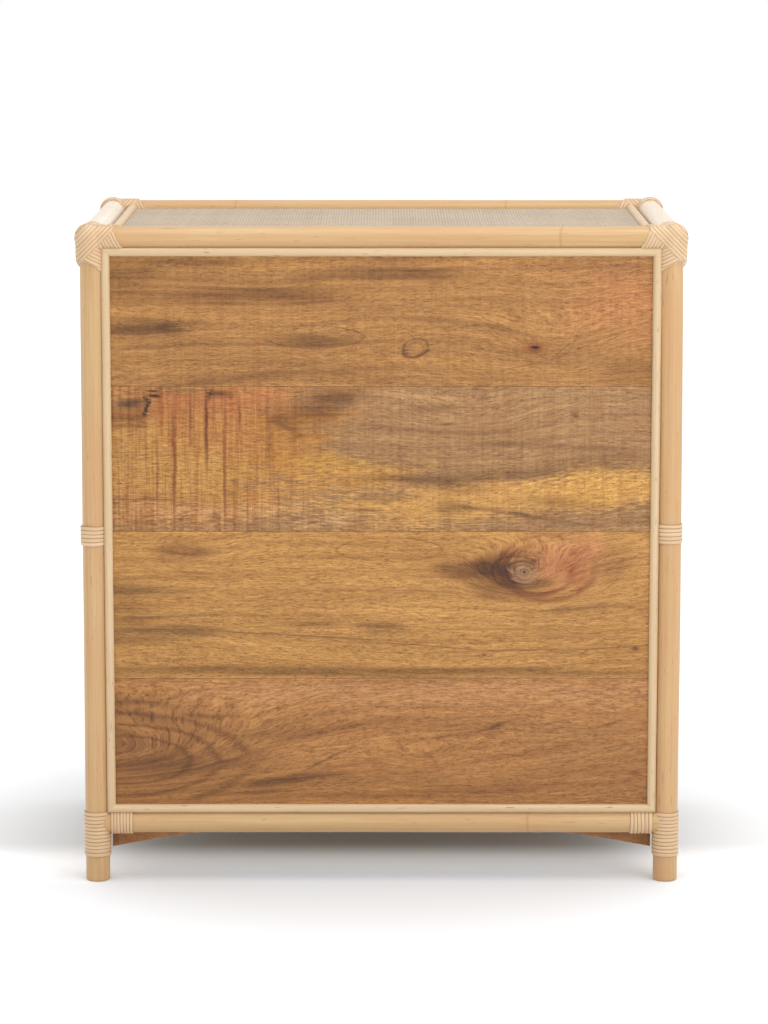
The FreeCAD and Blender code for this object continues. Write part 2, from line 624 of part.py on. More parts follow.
def corner_sleeves(name, side, end):
    """The binding beside a top corner: one sleeve on each of the three poles that meet there."""
    beside_x = f"({POST_X} - {POST_R} - binding_thick)"
    beside_y = f"({POST_Y} - {POST_R} - binding_thick)"
    below = f"({SIDE_Z} - {SIDE_R} - binding_thick)"
    start_x = f"({POST_X} - corner_rail_reach)"
    start_y = f"({POST_Y} - corner_side_reach)"
    down = post_sleeve(name + "_post", side, end, f"{TOP_Z} - corner_post_reach", below)
    along = rod(name + "_rail", f"{TOP_R} + binding_thick", f"{beside_x} - {start_x}",
                (start_x if side > 0 else f"-{beside_x}", f"{end} * {POST_Y}", TOP_Z), "X")
    across = rod(name + "_side", f"{SIDE_R} + binding_thick", f"{beside_y} - {start_y}",
                 (f"{side} * {SIDE_X}", start_y if end > 0 else f"-{beside_y}", SIDE_Z), "Y")
    return down, along, across


CORNERS = [(end_name, side_name, end, side) for end_name, end in ENDS for side_name, side in SIDES]
binding("corner_bindings", [((e, s), sleeve) for e, s, end, side in CORNERS
                            for sleeve in corner_sleeves(f"corner_{e}_{s}", side, end)])
binding("mid_bands", [((e, s), post_sleeve(f"mid_band_{e}_{s}", side, end,
                                                "mid_band_centre - mid_band_width / 2",
                                                "mid_band_centre + mid_band_width / 2"))
                      for e, s, end, side in CORNERS])
binding("leg_bindings", [((e, s), post_sleeve(f"leg_binding_{e}_{s}", side, end,
                                                   "leg_band_low", "leg_band_high"))
                         for e, s, end, side in CORNERS])

rail_sleeves = []
for e, s, end, side in CORNERS:
    start_x = f"({POST_X} - {POST_R} - binding_thick - rail_band_width)"
    start_y = f"({POST_Y} - {POST_R} - binding_thick - rail_band_width)"
    low_x = start_x if side > 0 else f"-({start_x} + rail_band_width)"
    low_y = start_y if end > 0 else f"-({start_y} + rail_band_width)"
    for name, start, axis in (("long", (low_x, f"{end} * {POST_Y}", LOW_Z), "X"),
                              ("short", (f"{side} * {POST_X}", low_y, LOW_Z), "Y")):
        sleeve = rod(f"rail_binding_{e}_{s}_{name}", f"{LOW_R} + binding_thick", "rail_band_width",
                     start, axis)
        rail_sleeves.append(((e, s), sleeve))
binding("rail_bindings", rail_sleeves)

# ---------------------------------------------------------------- checks and files

doc.recompute()
for obj in doc.Objects:
    if any(state in obj.State for state in ("Invalid", "Error")):
        raise RuntimeError(f"{obj.Name} ({obj.Label}) failed: {obj.State}")
for obj in subparts:
    if obj.Shape.isNull() or not obj.Shape.isValid() or not obj.Shape.Solids:
        raise RuntimeError(f"{obj.Label} has no valid solid")

os.makedirs("parts", exist_ok=True)
for obj in subparts:
    obj.Shape.exportStep(os.path.join("parts", obj.Label + ".step"))
print(f"{len(subparts)} sub-parts written, {sum(len(obj.Shape.Solids) for obj in subparts)} solids")
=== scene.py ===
# %% [markdown]
# # A rattan chest of drawers with a mango wood back
# The chest is a cage of rattan poles, with boards let into it, half-round cane round every
# panel and strips of cane peel wound over every joint. The measured model comes in as the
# frame, and each step here puts a finished piece over one of its parts.

# %% Load the frame
import json
import math
import random

import bmesh
import bpy
from mathutils import Matrix, Vector, noise

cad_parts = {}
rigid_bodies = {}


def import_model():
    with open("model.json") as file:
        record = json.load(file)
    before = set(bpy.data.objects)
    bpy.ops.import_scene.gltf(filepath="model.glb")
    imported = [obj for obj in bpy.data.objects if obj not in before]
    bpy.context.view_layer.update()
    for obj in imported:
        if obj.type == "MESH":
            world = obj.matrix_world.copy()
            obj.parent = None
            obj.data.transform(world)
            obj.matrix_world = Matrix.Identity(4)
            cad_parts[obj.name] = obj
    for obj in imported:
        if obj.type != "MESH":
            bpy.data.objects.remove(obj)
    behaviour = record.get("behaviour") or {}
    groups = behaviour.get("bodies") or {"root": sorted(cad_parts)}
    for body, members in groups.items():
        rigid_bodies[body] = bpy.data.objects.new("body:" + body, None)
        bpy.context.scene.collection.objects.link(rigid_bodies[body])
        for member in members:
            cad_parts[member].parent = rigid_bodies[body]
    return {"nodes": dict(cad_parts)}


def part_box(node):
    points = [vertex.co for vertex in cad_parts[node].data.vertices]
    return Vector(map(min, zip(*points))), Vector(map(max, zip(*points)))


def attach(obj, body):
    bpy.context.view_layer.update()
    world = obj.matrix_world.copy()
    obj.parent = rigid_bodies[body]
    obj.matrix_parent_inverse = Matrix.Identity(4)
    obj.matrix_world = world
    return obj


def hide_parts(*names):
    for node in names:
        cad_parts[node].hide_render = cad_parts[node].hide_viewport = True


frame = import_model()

MM = 0.001
X, Y, UP = Vector((1, 0, 0)), Vector((0, 1, 0)), Vector((0, 0, 1))
put_in_scene = bpy.context.scene.collection.objects.link
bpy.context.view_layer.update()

# %% [markdown]
# ## Camera and light
# The camera stands behind the chest at eye height and looks slightly down, with a long lens
# that keeps the posts nearly parallel. A white sky gives even light from all round. A large
# soft panel overhead makes the tops of the poles paler, and a smaller one at the side gives
# every pole a light and a dark flank.

# %% Camera
EYE = Vector((-3.4 * MM, 5.121, 1.309))
LOOK_DOWN = 0.1622
camera = bpy.data.objects.new("camera", bpy.data.cameras.new("camera"))
camera.data.lens = 129.9
camera.data.sensor_width = 36
camera.location = EYE
camera.rotation_euler = (math.pi / 2 - LOOK_DOWN, 0, math.pi)
put_in_scene(camera)
bpy.context.scene.camera = camera
bpy.context.scene.view_settings.view_transform = "Standard"
print("the camera looks down by", round(math.degrees(LOOK_DOWN), 1), "degrees")

# %% Sky and panels of light
world = bpy.data.worlds.new("studio")
bpy.context.scene.world = world
world.use_nodes = True
world.node_tree.nodes["Background"].inputs["Color"].default_value = (1, 1, 1, 1)
world.node_tree.nodes["Background"].inputs["Strength"].default_value = 1.0


def soft_panel(name, place, target, width, power):
    """A square panel of light that faces a point."""
    lamp = bpy.data.lights.new(name, "AREA")
    lamp.shape = "SQUARE"
    lamp.size = width
    lamp.energy = power
    panel = bpy.data.objects.new(name, lamp)
    panel.location = place
    panel.rotation_euler = (Vector(target) - Vector(place)).to_track_quat("-Z", "Y").to_euler()
    put_in_scene(panel)


soft_panel("overhead", (-0.3, 0.6, 3.0), (0, 0, 0.5), 2.4, 34)
soft_panel("key", (-2.2, 2.6, 1.7), (0, 0.2, 0.4), 1.6, 26)
print("one sky and two panels of light")

# %% [markdown]
# ## Small tools for materials
# A material here is a tree of nodes. These few functions add one node each, and take either a
# number or another node's output for every input, so that a finish reads like a recipe.


# %% Tools for node trees
def shade(red, green, blue):
    """A colour given in display values from 0 to 255, as the linear colour that nodes use."""
    def linear(value):
        value /= 255
        return value / 12.92 if value <= 0.04045 else ((value + 0.055) / 1.055) ** 2.4
    return linear(red), linear(green), linear(blue), 1


def plug(tree, value, socket):
    """Link an output into a socket, or set the socket to a plain value."""
    if isinstance(value, bpy.types.NodeSocket):
        tree.links.new(value, socket)
    else:
        socket.default_value = value


def calc(tree, operation, *values, clamp=False):
    """One sum on numbers."""
    made = tree.nodes.new("ShaderNodeMath")
    made.operation, made.use_clamp = operation, clamp
    for value, socket in zip(values, made.inputs):
        plug(tree, value, socket)
    return made.outputs[0]


def plus(tree, first, second):
    return calc(tree, "ADD", first, second)


def minus(tree, first, second):
    return calc(tree, "SUBTRACT", first, second)


def times(tree, first, second):
    return calc(tree, "MULTIPLY", first, second)


def vector_calc(tree, operation, *values):
    """One sum on vectors."""
    made = tree.nodes.new("ShaderNodeVectorMath")
    made.operation = operation
    for value, socket in zip(values, made.inputs):
        plug(tree, value, socket)
    return made.outputs["Value" if operation == "LENGTH" else "Vector"]


def remap(tree, value, low, high, to_low=0.0, to_high=1.0, kind="LINEAR"):
    """Carry the range from low to high over to another range."""
    made = tree.nodes.new("ShaderNodeMapRange")
    made.interpolation_type = kind
    for number, socket in zip((value, low, high, to_low, to_high), made.inputs):
        plug(tree, number, socket)
    return made.outputs[0]


def mix(tree, amount, first, second, kind="MIX"):
    """Mix two colours."""
    made = tree.nodes.new("ShaderNodeMix")
    made.data_type, made.blend_type = "RGBA", kind
    plug(tree, amount, made.inputs[0])
    plug(tree, first, made.inputs[6])
    plug(tree, second, made.inputs[7])
    return made.outputs[2]


def darken(tree, colour, mask, amount, red, green, blue):
    """Multiply a colour by a tint, by an amount where the mask is full."""
    return mix(tree, times(tree, mask, amount), colour, shade(red, green, blue), "MULTIPLY")


def grainy(tree, place, stretch, detail=2.0, rough=0.5, colour=False):
    """Noise that is finer along the axes with a larger stretch."""
    made = tree.nodes.new("ShaderNodeTexNoise")
    plug(tree, vector_calc(tree, "MULTIPLY", place, stretch), made.inputs["Vector"])
    made.inputs["Scale"].default_value = 1.0
    made.inputs["Detail"].default_value = detail
    made.inputs["Roughness"].default_value = rough
    return made.outputs["Color" if colour else 0]


def drift(tree, place, stretch, detail, rough):
    """A push in every direction, by noise between -0.5 and 0.5."""
    push = grainy(tree, place, stretch, detail, rough, True)
    return vector_calc(tree, "SUBTRACT", push, (0.5, 0.5, 0.5))


def parts(tree, vector):
    """The three numbers of a vector."""
    made = tree.nodes.new("ShaderNodeSeparateXYZ")
    plug(tree, vector, made.inputs[0])
    return made.outputs


def new_group(name, takes, gives, made="Float"):
    """An empty node group, returned with its own inputs and outputs."""
    group = bpy.data.node_groups.new(name, "ShaderNodeTree")
    for label, kind in takes.items():
        group.interface.new_socket(name=label, in_out="INPUT", socket_type="NodeSocket" + kind)
    for label in gives:
        group.interface.new_socket(name=label, in_out="OUTPUT", socket_type="NodeSocket" + made)
    return group, group.nodes.new("NodeGroupInput").outputs, group.nodes.new("NodeGroupOutput").inputs


def use(tree, group, **values):
    """Place a node group in a material, with its own values."""
    made = tree.nodes.new("ShaderNodeGroup")
    made.node_tree = group
    for label, value in values.items():
        plug(tree, value, made.inputs[label])
    return made.outputs


def new_material(name, roughness=0.5, coat=0.0):
    """A material with one Principled shader, returned with its tree and its shader."""
    material = bpy.data.materials.new(name)
    material.use_nodes = True
    shader = material.node_tree.nodes["Principled BSDF"]
    shader.inputs["Roughness"].default_value = roughness
    shader.inputs["Coat Weight"].default_value = coat
    shader.inputs["Coat Roughness"].default_value = 0.25
    shader.inputs["Specular IOR Level"].default_value = 0.4
    return material, material.node_tree, shader


def raise_surface(tree, shader, height, distance, strength=1.0):
    """Turn a height into a bump on the shader's normal."""
    bump = tree.nodes.new("ShaderNodeBump")
    bump.inputs["Strength"].default_value = strength
    bump.inputs["Distance"].default_value = distance
    plug(tree, height, bump.inputs["Height"])
    tree.links.new(bump.outputs[0], shader.inputs["Normal"])


def object_place(tree):
    """Where a point is on the object, in metres."""
    return tree.nodes.new("ShaderNodeTexCoord").outputs["Object"]


def stored(tree, name, output="Vector"):
    """A value that the mesh stores at its points."""
    made = tree.nodes.new("ShaderNodeAttribute")
    made.attribute_name = name
    return made.outputs[output]


print("a middle grey is", round(shade(128, 128, 128)[0], 3), "in linear light")


# %% [markdown]
# ## What wood does
# Mango is sawn across soft growth rings, so a board shows long bands that bend round knots.
# The bands are a noise that changes fast across the board and slowly along it. Adding a smooth
# hill to the height that the noise reads bends the bands into eyes and pointed arches, which
# is what a knot does. The same group gives the fine fibres, the short dark pores and clouds.

# %% The figure of mango wood
figure_group, takes, gives = new_group(
    "mango figure", {"Place": "Vector", "Lift": "Float"}, ["Bands", "Fibres", "Pores", "Clouds"])
tree = figure_group
sway = parts(tree, drift(tree, takes["Place"], (1.6, 3, 6), 2, 0.5))
ripple = parts(tree, drift(tree, takes["Place"], (14, 20, 60), 2, 0.5))
split = parts(tree, takes["Place"])
level = plus(tree, split["Z"], times(tree, sway["X"], 70 * MM))
level = plus(tree, level, times(tree, ripple["X"], 6 * MM))
level = plus(tree, level, takes["Lift"])
ring_place = tree.nodes.new("ShaderNodeCombineXYZ")
for value, socket in zip((split["X"], split["Y"], level), ring_place.inputs):
    plug(tree, value, socket)
bent = ring_place.outputs[0]
plug(tree, remap(tree, grainy(tree, bent, (2.5, 12, 120), 6, 0.62), 0.28, 0.72), gives["Bands"])
plug(tree, remap(tree, grainy(tree, bent, (45, 90, 420), 5, 0.75), 0.34, 0.66), gives["Fibres"])
plug(tree, remap(tree, grainy(tree, bent, (170, 200, 980), 3, 0.75), 0.5, 0.64), gives["Pores"])
plug(tree, remap(tree, grainy(tree, bent, (4, 9, 22), 4, 0.6), 0.35, 0.65), gives["Clouds"])
print("mango figure:", len(figure_group.nodes), "nodes")

# %% [markdown]
# Stains, streaks and knots are drawn one at a time, because a board's marks are what makes it
# that board. Each is an ellipse with a soft edge. The place it reads has first been pulled
# about along the grain, and the fibres and clouds of the figure make the edge ragged, so it
# frays like a real stain. Saw marks are short lines across the grain.

# %% Marks in the wood
mark_group, takes, gives = new_group(
    "wood mark",
    {"Place": "Vector", "Centre": "Vector", "Size": "Vector", "Turn": "Vector", "Soft": "Float",
     "Ragged": "Float"},
    ["Mask", "Ring", "Hill"])
tree = mark_group
own_place = tree.nodes.new("ShaderNodeMapping")
own_place.vector_type = "TEXTURE"
for label, socket in (("Place", 0), ("Centre", 1), ("Turn", 2), ("Size", 3)):
    plug(tree, takes[label], own_place.inputs[socket])
flat = vector_calc(tree, "MULTIPLY", own_place.outputs[0], (1, 0, 1))
exact_reach = vector_calc(tree, "LENGTH", flat)
reach = plus(tree, exact_reach, takes["Ragged"])
inner = minus(tree, 1.0, takes["Soft"])
outer = plus(tree, 1.0, takes["Soft"])
plug(tree, remap(tree, reach, outer, inner, 0, 1, "SMOOTHSTEP"), gives["Mask"])
off_ring = calc(tree, "ABSOLUTE", minus(tree, reach, 1.0))
plug(tree, remap(tree, off_ring, takes["Soft"], 0, 0, 1, "SMOOTHSTEP"), gives["Ring"])
fall = times(tree, calc(tree, "POWER", exact_reach, 2), -1)
plug(tree, calc(tree, "EXPONENT", fall), gives["Hill"])

frayed_group, takes, gives = new_group(
    "frayed place", {"Place": "Vector", "Amount": "Float"}, ["Place"], "Vector")
tree = frayed_group
fray = drift(tree, takes["Place"], (9, 9, 40), 1, 0.5)
fray = vector_calc(tree, "MULTIPLY", fray, (100 * MM, 0, 20 * MM))
fibre = drift(tree, takes["Place"], (30, 60, 420), 2, 0.6)
fibre = vector_calc(tree, "MULTIPLY", fibre, (60 * MM, 0, 4 * MM))
total = vector_calc(tree, "MULTIPLY", vector_calc(tree, "ADD", fray, fibre), takes["Amount"])
plug(tree, vector_calc(tree, "ADD", takes["Place"], total), gives["Place"])

saw_group, takes, gives = new_group("saw marks", {"Place": "Vector"}, ["Lines"])
tree = saw_group
near_lines = remap(tree, grainy(tree, takes["Place"], (240, 20, 7), 2, 0.7), 0.42, 0.72)
far_lines = remap(tree, grainy(tree, takes["Place"], (85, 20, 4), 3, 0.7), 0.52, 0.68)
plug(tree, calc(tree, "MAXIMUM", near_lines, far_lines), gives["Lines"])
print("wood mark, frayed place and saw marks are ready")


# %% A recipe for a mango board
FULLY_RAGGED = 1.0


def stain(x, z, half_long, half_high, colour, amount=0.6, soft=0.5, turn=0.0, kind="MULTIPLY",
          fray=1.0, ragged=FULLY_RAGGED):
    """One mark: its middle and half sizes in millimetres, its colour and how its edge frays."""
    return dict(x=x, z=z, size=(half_long, half_high), colour=colour, amount=amount, soft=soft,
                turn=turn, kind=kind, fray=fray, ragged=ragged, ring=False)


def ring(x, z, half_long, half_high, colour, amount=0.6, soft=0.1, turn=0.0):
    """A thin dark line round an ellipse, as at the edge of a knot."""
    return dict(x=x, z=z, size=(half_long, half_high), colour=colour, amount=amount, soft=soft,
                turn=turn, kind="MULTIPLY", fray=0.12, ragged=soft, ring=True)


def mark_values(x, z, size, turn, soft):
    """The inputs of a mark's nodes, in metres and radians."""
    return dict(Centre=(x * MM, 0, z * MM), Size=(size[0] * MM, 1, size[1] * MM),
                Turn=(0, math.radians(turn), 0), Soft=soft)


def mango(name, light, dark, hills=(), marks=(), saw=0.1, offset=(0, 0, 0), rougher=0.0):
    """Mango wood: bands, then marks, then fibres, pores and saw marks over everything."""
    material, tree, shader = new_material(name, 0.52)
    place = object_place(tree)
    lift = 0.0
    for x, z, half_long, half_high, height in hills:
        hill = use(tree, mark_group, Place=place, **mark_values(x, z, (half_long, half_high), 0, 0.5))
        lift = plus(tree, lift, times(tree, hill["Hill"], height * MM))
    moved = vector_calc(tree, "ADD", place, offset)
    figure = use(tree, figure_group, Place=moved, Lift=lift)
    colour = mix(tree, figure["Bands"], shade(*light), shade(*dark))
    colour = darken(tree, colour, figure["Clouds"], 0.4, 206, 196, 180)
    fibre_edge = times(tree, minus(tree, figure["Fibres"], 0.5), 0.9)
    cloud_edge = times(tree, minus(tree, figure["Clouds"], 0.5), 0.9)
    ragged = plus(tree, fibre_edge, cloud_edge)
    broken = remap(tree, figure["Clouds"], 0.1, 0.6)
    streaky = remap(tree, figure["Bands"], 0.15, 0.7, 0.45, 0.9)
    frays = {}
    for mark in marks:
        if mark["fray"] not in frays:
            frays[mark["fray"]] = use(tree, frayed_group, Place=place, Amount=mark["fray"])[0]
        rough = times(tree, ragged, mark["ragged"])
        spot = use(tree, mark_group, Place=frays[mark["fray"]], Ragged=rough,
                   **mark_values(mark["x"], mark["z"], mark["size"], mark["turn"], mark["soft"]))
        mask = times(tree, spot["Ring" if mark["ring"] else "Mask"], mark["amount"])
        if mark["ring"]:
            mask = times(tree, mask, broken)
        elif mark["kind"] == "MULTIPLY" and mark["ragged"] == FULLY_RAGGED:
            mask = times(tree, mask, streaky)
        colour = mix(tree, mask, colour, shade(*mark["colour"]), mark["kind"])
    colour = darken(tree, colour, figure["Fibres"], 0.85, 182, 166, 142)
    colour = darken(tree, colour, figure["Pores"], 0.7, 160, 136, 112)
    sawn = use(tree, saw_group, Place=moved)["Lines"]
    rough_side = remap(tree, parts(tree, place)["X"], 0.06, 0.2, saw, saw + rougher, "SMOOTHSTEP")
    colour = darken(tree, colour, sawn, rough_side, 212, 178, 142)
    plug(tree, colour, shader.inputs["Base Color"])
    plug(tree, remap(tree, figure["Bands"], 0, 1, 0.46, 0.6), shader.inputs["Roughness"])
    height = times(tree, sawn, saw * 2)
    height = minus(tree, height, times(tree, figure["Fibres"], 0.5))
    raise_surface(tree, shader, minus(tree, height, figure["Pores"]), 0.25 * MM, 0.5)
    return material


print("one stain, for example:", stain(190, 801, 150, 15, (158, 132, 112)))


# %% [markdown]
# ## The four boards of the back
# Each board has its own colour and its own marks. Places are millimetres across from the
# middle of the chest and up from the floor; seen from behind, left is the positive side.

# %% Their marks and materials
GREY, BROWN, INK, LINE = (150, 142, 136), (172, 140, 112), (52, 44, 42), (112, 82, 60)
top_board_marks = [
    stain(190, 801, 150, 15, (158, 132, 112), 0.75, 0.7),
    stain(120, 803, 50, 11, (150, 122, 105), 0.5, 0.7),
    stain(255, 841, 60, 7, (160, 148, 138), 0.7, 0.6),
    stain(345, 825, 40, 22, (165, 152, 138), 0.7, 0.8),
    stain(-15, 832, 75, 11, (150, 132, 120), 0.75, 0.6),
    stain(98, 822, 25, 10, (155, 135, 118), 0.5, 0.7),
    stain(322, 757, 34, 11, (150, 138, 126), 0.7, 0.7),
    stain(284, 756, 16, 6, (165, 150, 120), 0.5, 0.6),
    stain(85, 738, 52, 7, (165, 150, 128), 0.6, 0.7),
    ring(90, 745, 66, 15, LINE, 0.6, 0.07),
    stain(100, 738, 52, 9, (168, 150, 128), 0.5, 0.7),
    stain(300, 762, 60, 6, (150, 138, 120), 0.5, 0.8),
    stain(250, 735, 80, 5, (165, 145, 125), 0.45, 0.8),
    stain(-300, 840, 70, 8, (170, 145, 120), 0.5, 0.8),
    stain(40, 700, 120, 4, (160, 140, 125), 0.45, 0.8, 2),
    stain(-150, 800, 90, 5, (170, 150, 125), 0.4, 0.8, -3),
    ring(-45, 730, 18, 12, LINE, 0.75, 0.24, 15),
    ring(-44, 728, 13, 9, LINE, 0.35, 0.3, 15),
    stain(-205, 731, 16, 8, (205, 125, 88), 0.7, 0.8, fray=0.12, ragged=0.4),
    stain(-206, 731, 7, 2.5, (90, 35, 25), 0.95, 0.5, fray=0.12, ragged=0.3),
    ring(-226, 748, 33, 33, LINE, 0.3, 0.035),
    stain(-240, 727, 28, 0.8, LINE, 0.7, 0.9, 40, fray=0.12),
    stain(-178, 704, 36, 0.8, LINE, 0.6, 0.9, 13, fray=0.12),
    stain(-120, 760, 70, 5, (165, 148, 145), 0.6, 0.7, -8),
    stain(200, 690, 70, 7, (172, 150, 145), 0.65, 0.7, 6),
    stain(-320, 790, 60, 45, (205, 135, 85), 0.5, 0.9, kind="MIX"),
    stain(-335, 700, 40, 16, (185, 160, 115), 0.6, 0.8),
]
upper_board_marks = [
    stain(250, 600, 150, 110, (202, 142, 74), 0.85, 0.35, kind="MIX"),
    stain(240, 560, 120, 28, (208, 160, 84), 0.7, 0.6, kind="MIX"),
    stain(230, 655, 130, 20, (198, 132, 76), 0.7, 0.6, kind="MIX"),
    stain(300, 505, 120, 18, (204, 146, 84), 0.75, 0.6, kind="MIX"),
    stain(120, 600, 60, 40, (196, 138, 62), 0.8, 0.6, kind="MIX"),
    stain(-130, 522, 260, 26, (220, 168, 92), 0.85, 0.5, 4, kind="MIX"),
    stain(30, 560, 70, 20, (214, 160, 78), 0.8, 0.6, kind="MIX"),
    stain(60, 500, 60, 12, (222, 180, 130), 0.6, 0.6, kind="MIX"),
    stain(-300, 545, 60, 22, (226, 176, 92), 0.8, 0.6, kind="MIX"),
    stain(330, 600, 60, 60, (206, 158, 88), 0.6, 0.7, kind="MIX"),
    stain(260, 508, 150, 12, (212, 166, 112), 0.6, 0.7, kind="MIX"),
    stain(250, 660, 100, 16, (196, 124, 76), 0.5, 0.7, kind="MIX"),
    stain(88, 655, 34, 13, (142, 128, 98), 0.8, 0.6),
    stain(60, 668, 40, 7, (150, 138, 108), 0.6, 0.6),
    stain(130, 622, 14, 10, (128, 110, 78), 0.7, 0.6),
    stain(336, 637, 28, 15, (160, 138, 122), 0.8, 0.5),
    stain(340, 655, 18, 6, INK, 0.75, 0.7, fray=0.35, ragged=0.9),
    stain(315, 651, 3, 11, INK, 0.9, 0.6, fray=0.2, ragged=0.7),
    stain(319, 660, 3, 5, INK, 0.8, 0.6, fray=0.2, ragged=0.7),
    stain(306, 665, 9, 3, INK, 0.9, 0.6, fray=0.25, ragged=0.8),
    stain(304, 672, 8, 2, INK, 0.85, 0.6, fray=0.25, ragged=0.8),
    stain(229, 667, 3, 9, INK, 0.8, 0.8, fray=0.2, ragged=0.7),
    stain(222, 670, 12, 4, INK, 0.5, 0.8, fray=0.3, ragged=0.9),
    stain(118, 636, 34, 20, (166, 150, 108), 0.6, 0.7),
    stain(60, 580, 50, 10, (204, 158, 70), 0.6, 0.6, kind="MIX"),
    stain(-20, 556, 60, 6, (150, 136, 112), 0.7, 0.6),
    stain(-150, 560, 80, 6, (176, 158, 134), 0.6, 0.7, 4),
    stain(-300, 575, 70, 8, (182, 164, 140), 0.5, 0.8, 8),
    stain(-200, 600, 120, 5, (176, 152, 130), 0.55, 0.8, -4),
    stain(-120, 655, 90, 5, (172, 148, 126), 0.5, 0.8, 6),
    stain(214, 668, 14, 6, BROWN, 0.8, 0.8, fray=0.3),
    stain(277, 590, 2.4, 66, (170, 110, 70), 0.8, 0.9, fray=0.04, ragged=0.6),
    stain(234, 625, 2.2, 48, (140, 88, 58), 0.85, 0.9, fray=0.04, ragged=0.6),
    stain(190, 640, 2, 20, (150, 96, 66), 0.7, 0.9, fray=0.04, ragged=0.6),
    stain(255, 640, 2, 34, (160, 104, 68), 0.6, 0.9, fray=0.04, ragged=0.6),
    stain(300, 560, 2, 50, (176, 124, 80), 0.6, 0.9, fray=0.04, ragged=0.6),
    stain(210, 575, 2, 60, (176, 124, 80), 0.6, 0.9, fray=0.04, ragged=0.6),
    stain(150, 600, 4, 26, (150, 110, 66), 0.6, 0.8, fray=0.06),
    stain(316, 526, 50, 1, LINE, 0.6, 0.9, fray=0.1),
    stain(-261, 640, 5, 4, (120, 86, 64), 0.8, 0.7, fray=0.15),
    stain(-87, 628, 9, 1.6, (120, 86, 64), 0.8, 0.7, fray=0.15),
    stain(-60, 620, 100, 6, (180, 150, 132), 0.6, 0.8, -3),
    stain(0, 530, 30, 5, GREY, 0.6, 0.7),
    stain(-90, 545, 40, 8, (160, 146, 130), 0.6, 0.8),
    stain(20, 512, 20, 3, (120, 100, 82), 0.8, 0.6, fray=0.4),
    stain(-95, 515, 22, 9, GREY, 0.75, 0.6, fray=0.6),
    stain(20, 494, 22, 8, (165, 140, 105), 0.7, 0.6),
    stain(-195, 503, 95, 3, (140, 112, 84), 0.75, 0.8, -9, fray=0.3),
    stain(-240, 522, 60, 7, (165, 150, 110), 0.6, 0.8),
]
lower_board_marks = [
    stain(-176, 430, 64, 27, (168, 142, 116), 0.85, 0.3, fray=0.3, ragged=0.5),
    stain(-135, 430, 58, 13, (158, 130, 106), 0.8, 0.4, fray=0.45, ragged=0.6),
    stain(-92, 438, 30, 6, (145, 118, 96), 0.75, 0.6, fray=0.5),
    stain(-162, 403, 30, 12, (165, 136, 110), 0.6, 0.6, fray=0.5),
    stain(-192, 426, 19, 14, (190, 150, 112), 0.55, 0.5, kind="MIX", fray=0.1),
    ring(-192, 427, 6, 4, LINE, 0.8, 0.3),
    ring(-191, 427, 13, 10, LINE, 0.7, 0.2),
    ring(-189, 426, 22, 16, LINE, 0.6, 0.14),
    ring(-182, 427, 34, 22, LINE, 0.5, 0.1),
    ring(-140, 432, 12, 8, LINE, 0.5, 0.16),
    stain(-192, 427, 2, 2, (70, 56, 40), 0.9, 0.5, fray=0.05, ragged=0.2),
    stain(-250, 440, 34, 34, (206, 140, 92), 0.7, 0.6, kind="MIX"),
    ring(-212, 430, 44, 34, (176, 124, 92), 0.9, 0.2),
    ring(-222, 432, 64, 44, (176, 130, 96), 0.7, 0.14),
    stain(-262, 432, 14, 26, (196, 150, 118), 0.7, 0.7, 10, fray=0.4),
    stain(-311, 440, 22, 22, (176, 150, 122), 0.65, 0.7, fray=0.4),
    stain(-268, 378, 48, 4, (150, 140, 130), 0.6, 0.7, 8),
    stain(330, 403, 44, 8, (138, 130, 128), 0.75, 0.6),
    stain(300, 367, 72, 2.5, (112, 108, 104), 0.75, 0.7, fray=0.3),
    stain(300, 344, 76, 7, (138, 130, 132), 0.8, 0.6),
    stain(345, 370, 30, 40, (178, 160, 145), 0.6, 0.9),
    stain(272, 456, 32, 9, (150, 120, 98), 0.7, 0.7, fray=0.5),
    ring(245, 450, 50, 24, (160, 116, 80), 0.35, 0.1),
    stain(98, 357, 30, 5, (142, 128, 100), 0.7, 0.6, fray=0.6),
    stain(-2, 350, 36, 6, (140, 124, 112), 0.75, 0.6, -7, fray=0.6),
    stain(110, 340, 130, 0.9, LINE, 0.6, 0.9, -3, fray=0.12),
    stain(-66, 326, 66, 0.9, LINE, 0.7, 0.9, -4, fray=0.12),
    stain(-180, 320, 60, 0.9, LINE, 0.65, 0.9, 1, fray=0.12),
    stain(-290, 322, 70, 0.9, LINE, 0.65, 0.9, 4, fray=0.12),
    stain(-141, 314, 5, 3, (110, 96, 72), 0.8, 0.7, fray=0.2),
    stain(-344, 322, 6, 4, (110, 96, 72), 0.8, 0.7, fray=0.2),
    stain(0, 291, 380, 5, (150, 140, 112), 0.75, 0.8, -0.5, fray=0.3),
    ring(-10, 458, 70, 16, (160, 116, 76), 0.35, 0.06),
]
